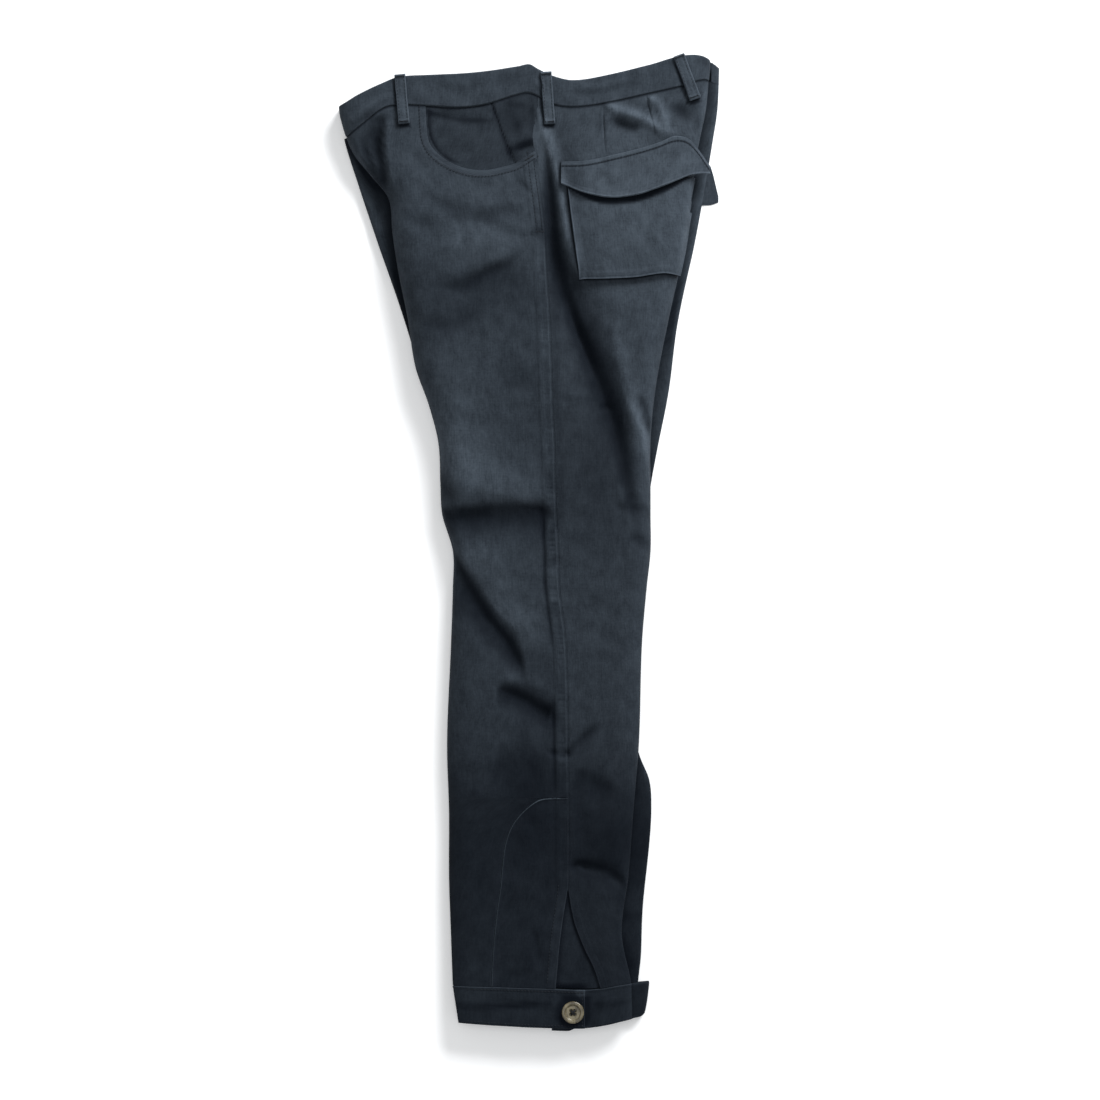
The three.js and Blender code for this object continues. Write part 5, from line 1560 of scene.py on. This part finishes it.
def new_group(name, inputs):
    """A node group with the given inputs, of which one without a default is a place, and with a colour, a
    roughness and a height to put out. Returns it, its inputs and its output node."""
    group = bpy.data.node_groups.new(name, "ShaderNodeTree")
    for key, value in inputs.items():
        kind = "Vector" if value is None else "Color" if isinstance(value, tuple) else "Float"
        made = group.interface.new_socket(name=key, in_out="INPUT", socket_type="NodeSocket" + kind)
        if value is not None:
            made.default_value = value
    for key, kind in (("Colour", "Color"), ("Roughness", "Float"), ("Height", "Float")):
        group.interface.new_socket(name=key, in_out="OUTPUT", socket_type="NodeSocket" + kind)
    return group, group.nodes.new("NodeGroupInput").outputs, group.nodes.new("NodeGroupOutput")


def put_out(group, out, share, dark, light, roughness, height):
    """Ends a group: its colour is the given share of the way from a dark one to a light one."""
    mix = add(group, "Mix", {"Factor": share, "A": dark, "B": light}, data_type="RGBA")
    for key, value in (("Colour", mix.outputs["Result"]), ("Roughness", roughness), ("Height", height)):
        group.links.new(value, out.inputs[key])
    return group


def twill_group():
    """Twill seen close: diagonal wales as a sine wave, slubs along both threads as stretched noise, pale
    crests where a worn edge is masked, partly as painted highlight, and soft clouding. The fading mask is
    darkened further by painted shade in creases and lightened by painted highlight on crests. Coordinates are
    the cloth's own, in metres."""
    group, given, out = new_group("Twill weave", {
        "Cloth": None, "WearAndHighlight": 0.0, "FadingAndPaintedShading": 0.6, "PaintedShadeAndHighlight": 0.0, "Dye": (0.03, 0.04, 0.05, 1),
        "Pale": (0.1, 0.12, 0.14, 1), "Slub strength": 0.3, "Wear and highlight strength": 0.5,
    })

    def calc(operation, *values):
        return maths(group, operation, *values)

    def noise(scale, detail, stretch, roughness=0.6):
        place = add(group, "Mapping", {"Vector": given["Cloth"], "Scale": stretch}).outputs["Vector"]
        inputs = {"Vector": place, "Scale": scale, "Detail": detail, "Roughness": roughness}
        return add(group, "TexNoise", inputs).outputs["Fac"]

    def about_zero(value, strength):
        return calc("MULTIPLY", calc("SUBTRACT", value, 0.5), strength)
    wale_apart = 0.0014
    split = add(group, "SeparateXYZ", {"Vector": given["Cloth"]}).outputs
    diagonal = calc("ADD", calc("MULTIPLY", split["X"], 1.9), split["Y"])
    wobble = calc("MULTIPLY", noise(300, 2, (1, 1, 1)), 3.0)
    phase = calc("ADD", calc("MULTIPLY", diagonal, 2 * math.pi / wale_apart), wobble)
    wales = calc("MULTIPLY_ADD", calc("SINE", phase), 0.5, 0.5)
    warp = noise(1, 3, (800, 70, 1))
    weft = noise(1, 3, (70, 800, 1))
    cloud = noise(60, 7, (1.25, 0.8, 1), 0.74)
    fine = noise(420, 3, (1, 1, 1), 0.7)
    slubs = calc("ADD", calc("SUBTRACT", warp, 0.5), about_zero(weft, 0.45))
    grain = calc("ADD", slubs, about_zero(fine, 0.8))
    tone = calc("ADD", calc("MULTIPLY", grain, given["Slub strength"]), about_zero(cloud, 0.8))
    wear_and_highlight_share = calc("MULTIPLY", given["WearAndHighlight"], given["Wear and highlight strength"])
    speckled_wear_and_highlight = calc("MULTIPLY", wear_and_highlight_share, calc("MULTIPLY_ADD", fine, 1.2, 0.4))
    # The fading mask also carries painted shade and painted highlight.
    fading_and_painted_shade = calc("MULTIPLY", given["FadingAndPaintedShading"], calc("MULTIPLY_ADD", tone, 0.75, 0.36))
    # Painted shade in creases darkens the colour here, and painted highlight on crests lightens it.
    kept = calc("MULTIPLY_ADD", given["PaintedShadeAndHighlight"], -0.92, 1.0)
    mottled = calc("MULTIPLY_ADD", tone, 0.085, calc("MULTIPLY", wales, 0.012))
    share = calc("ADD", calc("MULTIPLY", fading_and_painted_shade, kept), calc("ADD", speckled_wear_and_highlight, mottled))
    height = calc("ADD", calc("MULTIPLY", wales, 0.6), calc("MULTIPLY", grain, 0.9))
    roughness = calc("MULTIPLY_ADD", grain, 0.12, 0.74)
    return put_out(group, out, share, given["Dye"], given["Pale"], roughness, height)


def mottle_group():
    """Two colours in soft streaks and specks of noise. Coordinates are the object's own, in metres."""
    group, given, out = new_group("Streaks and specks", {
        "Place": None, "Dark": (0.02, 0.02, 0.02, 1), "Light": (0.2, 0.2, 0.2, 1), "Streak scale": 200.0,
        "Speck scale": 900.0, "Balance": 0.0, "Lowest roughness": 0.3,
    })
    stretched = add(group, "Mapping", {
        "Vector": given["Place"], "Scale": (1, 0.35, 1), "Rotation": (0, 0, 0.5),
    }).outputs["Vector"]
    streaks = add(group, "TexNoise", {
        "Vector": stretched, "Scale": given["Streak scale"], "Detail": 5, "Distortion": 1.2,
    }).outputs["Fac"]
    specks = add(group, "TexNoise", {
        "Vector": given["Place"], "Scale": given["Speck scale"], "Detail": 3,
    }).outputs["Fac"]
    level = maths(group, "ADD", maths(group, "MULTIPLY_ADD", specks, 0.35, streaks), given["Balance"])
    share = add(group, "MapRange", {"Value": level, "From Min": 0.42, "From Max": 0.88}).outputs["Result"]
    roughness = maths(group, "MULTIPLY_ADD", specks, 0.25, given["Lowest roughness"])
    return put_out(group, out, share, given["Dark"], given["Light"], roughness, specks)


def finish(name, group, inputs, relief, strength, specular):
    """A material whose group gives the Principled shader its colour, its roughness and, through a Bump node,
    its relief. Returns it with the group's node and the shader."""
    material = bpy.data.materials.new(name)
    material.use_nodes = True
    tree = material.node_tree
    node = add(tree, "Group", node_tree=group)
    for key, value in inputs.items():
        node.inputs[key].default_value = (*value, 1) if isinstance(value, tuple) else value
    bump = add(tree, "Bump", {"Strength": strength, "Distance": relief, "Height": node.outputs["Height"]})
    shader = tree.nodes["Principled BSDF"]
    tree.links.new(node.outputs["Colour"], shader.inputs["Base Color"])
    tree.links.new(node.outputs["Roughness"], shader.inputs["Roughness"])
    tree.links.new(bump.outputs["Normal"], shader.inputs["Normal"])
    shader.inputs["Specular IOR Level"].default_value = specular
    return material, node, shader


def twill_material(name, group, dye, pale):
    """Soft brushed cotton twill, with its own dye and the paler colour that it fades to."""
    inputs = {"Dye": dye, "Pale": pale, "Slub strength": 0.4, "Wear and highlight strength": 0.2}
    material, node, shader = finish(name, group, inputs, relief=0.00035, strength=0.5, specular=0.07)
    tree = material.node_tree
    tree.links.new(add(tree, "UVMap", uv_map="Cloth").outputs["UV"], node.inputs["Cloth"])
    for mask in MASKS:
        tree.links.new(add(tree, "Attribute", attribute_name=mask).outputs["Fac"], node.inputs[mask])
    shader.inputs["Sheen Weight"].default_value = 0.02
    shader.inputs["Sheen Roughness"].default_value = 0.45
    shader.inputs["Sheen Tint"].default_value = (0.75, 0.85, 1, 1)
    return material


def mottled_material(name, group, dark, light, scales, balance, roughness, specular, relief):
    """A finish of two mottled colours on the object's own coordinates, with the scales of its streaks and
    specks."""
    inputs = {"Dark": dark, "Light": light, "Streak scale": scales[0], "Speck scale": scales[1],
              "Balance": balance, "Lowest roughness": roughness}
    material, node, shader = finish(name, group, inputs, relief, 0.4, specular)
    tree = material.node_tree
    tree.links.new(add(tree, "TexCoord").outputs["Object"], node.inputs["Place"])
    return material


twill = twill_material("Slate cotton twill", twill_group(), dye=(0.0014, 0.003, 0.006),
                       pale=(0.069, 0.087, 0.108))
mottle = mottle_group()
horn = mottled_material("Mottled horn", mottle, (0.022, 0.017, 0.01), (0.2, 0.17, 0.1), (190, 1400),
                        balance=-0.02, roughness=0.14, specular=0.5, relief=0.00005)
cotton = mottled_material("Slate sewing thread", mottle, (0.003, 0.0042, 0.006), (0.012, 0.016, 0.022),
                          (500, 2600), balance=0.05, roughness=0.55, specular=0.2, relief=0.0001)
dark_cotton = mottled_material("Dark button thread", mottle, (0.003, 0.003, 0.004), (0.014, 0.015, 0.018),
                               (500, 2600), balance=0.0, roughness=0.6, specular=0.2, relief=0.0001)


# Pieces

def declare(piece, node, width, length, rests_on=()):
    """Hides the part of the model that a piece of cloth stands for and works out the areas of its faces. Its
    cut, width by length, is not used.
    """
    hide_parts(node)
    mesh = piece.data
    areas = np.zeros(len(mesh.polygons))
    mesh.polygons.foreach_get("area", areas)
    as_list(rests_on)


right_front, right_shin, right_back = right_panels(twill)
deck = ["right_front_panel", "right_back_panel"]
on_front = ["left_front_panel"]
sheets = [  # piece, node, its flat width and length in metres, and what it rests on
    (right_front, "right_front", 0.46, 0.93),
    (right_shin, "right_shin_panel", 0.09, 0.22),
    (right_back, "right_back", 0.42, 0.93),
    (right_facing(twill), "right_pocket_facing", 0.14, 0.09),
    (right_pocket(twill), "right_back_pocket", 0.14, 0.12),
    (right_flap(twill), "right_pocket_flap", 0.17, 0.06),
    (left_front(twill), "left_front", 0.44, 0.95, deck),
    (left_shin(twill), "left_shin_panel", 0.09, 0.22, on_front),
    (left_back(twill), "left_back", 0.42, 0.96, deck),
    (left_facing(twill), "left_pocket_facing", 0.14, 0.1, on_front),
    (left_pocket(twill), "left_back_pocket", 0.14, 0.12, ["left_back_panel"]),
    (left_flap(twill), "left_pocket_flap", 0.17, 0.06, ["left_back_pocket_cloth"]),
    (left_waistband(twill), "waistband_left", 0.48, 0.042, on_front),
    (right_waistband(twill), "waistband_right", 0.42, 0.042),
    (left_ankle_band(twill), "left_ankle_band", 0.42, 0.05, on_front),
    (right_ankle_band(twill), "right_ankle_band", 0.46, 0.05),
    (gusset("left_vent_gusset_cloth", top, -1, 1.3, twill), "left_vent_gusset", 0.062, 0.115),
    (gusset("right_vent_gusset_cloth", lift, 1, 1.9, twill), "right_vent_gusset", 0.062, 0.115),
]
for place, ends in LOOPS.items():
    for side, loop, length in (("left", upper_loop, 0.06), ("right", lower_loop, 0.056)):
        node = "%s_%s_belt_loop" % (side, place)
        sheets.append((loop(node + "_cloth", ends, twill), node, 0.013, length))
for each in sheets:
    declare(*each)
sew(cotton)
for side, down in (("left", False), ("right", True)):
    made = button(side + "_horn_button", side + "_ankle_button", down, horn, dark_cotton)
    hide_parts(side + "_ankle_button")


# Floor, light and camera

FLOOR_COLOUR = (0.93, 0.935, 0.94)
PHOTO_WIDTH = 1144  # width of the picture's frame at the garment
PHOTO_CENTRE = (21.5, -9.0)
CAMERA_HEIGHT = 4000
GARMENT_HEIGHT = 15


def floor():
    mesh = bpy.data.meshes.new("floor")
    half = 4.0
    corners = [(-half, -half, 0), (half, -half, 0), (half, half, 0), (-half, half, 0)]
    mesh.from_pydata(corners, [], [(0, 1, 2, 3)])
    material = bpy.data.materials.new("Pale paper")
    material.use_nodes = True
    shader = material.node_tree.nodes["Principled BSDF"]
    shader.inputs["Base Color"].default_value = (*FLOOR_COLOUR, 1)
    shader.inputs["Roughness"].default_value = 0.9
    shader.inputs["Specular IOR Level"].default_value = 0.1
    shader.inputs["Emission Color"].default_value = (1, 1, 1, 1)
    shader.inputs["Emission Strength"].default_value = 0.16
    mesh.materials.append(material)
    piece = bpy.data.objects.new("floor", mesh)
    piece.location.z = -0.2 * MM  # just under the cloth
    bpy.context.scene.collection.objects.link(piece)


def area_light(name, place, aim, size, power, colour):
    lamp = bpy.data.lights.new(name, "AREA")
    lamp.shape = "RECTANGLE"
    lamp.size, lamp.size_y = size
    lamp.energy = power
    lamp.color = colour
    holder = bpy.data.objects.new(name, lamp)
    holder.location = place
    direction = np.array(aim, float) - np.array(place, float)
    across = math.atan2(direction[1], direction[0])
    down = math.acos(-direction[2] / np.linalg.norm(direction))
    holder.rotation_euler = (down, 0, across - math.pi / 2)
    bpy.context.scene.collection.objects.link(holder)


def camera():
    lens = bpy.data.cameras.new("camera")
    lens.sensor_width = 36
    lens.sensor_fit = "AUTO"
    lens.lens = 36 * (CAMERA_HEIGHT - GARMENT_HEIGHT) / PHOTO_WIDTH
    lens.clip_end = 30
    holder = bpy.data.objects.new("camera", lens)
    holder.location = (PHOTO_CENTRE[0] * MM, PHOTO_CENTRE[1] * MM, CAMERA_HEIGHT * MM)
    bpy.context.scene.collection.objects.link(holder)
    bpy.context.scene.camera = holder


def surroundings(colour, strength):
    world = bpy.data.worlds.new("soft room")
    world.use_nodes = True
    background = world.node_tree.nodes["Background"]
    background.inputs["Color"].default_value = (*colour, 1)
    background.inputs["Strength"].default_value = strength
    bpy.context.scene.world = world


floor()
camera()
bpy.context.scene.view_settings.view_transform = "Standard"
surroundings((0.97, 0.985, 1.0), 0.42)
area_light("window", (2.0, 3.1, 1.7), (0.02, 0.0, 0), (2.2, 1.0), 275, (0.98, 0.99, 1))
area_light("overhead", (-0.5, -0.2, 2.8), (0, -0.1, 0), (2.2, 2.2), 20, (1, 1, 1))
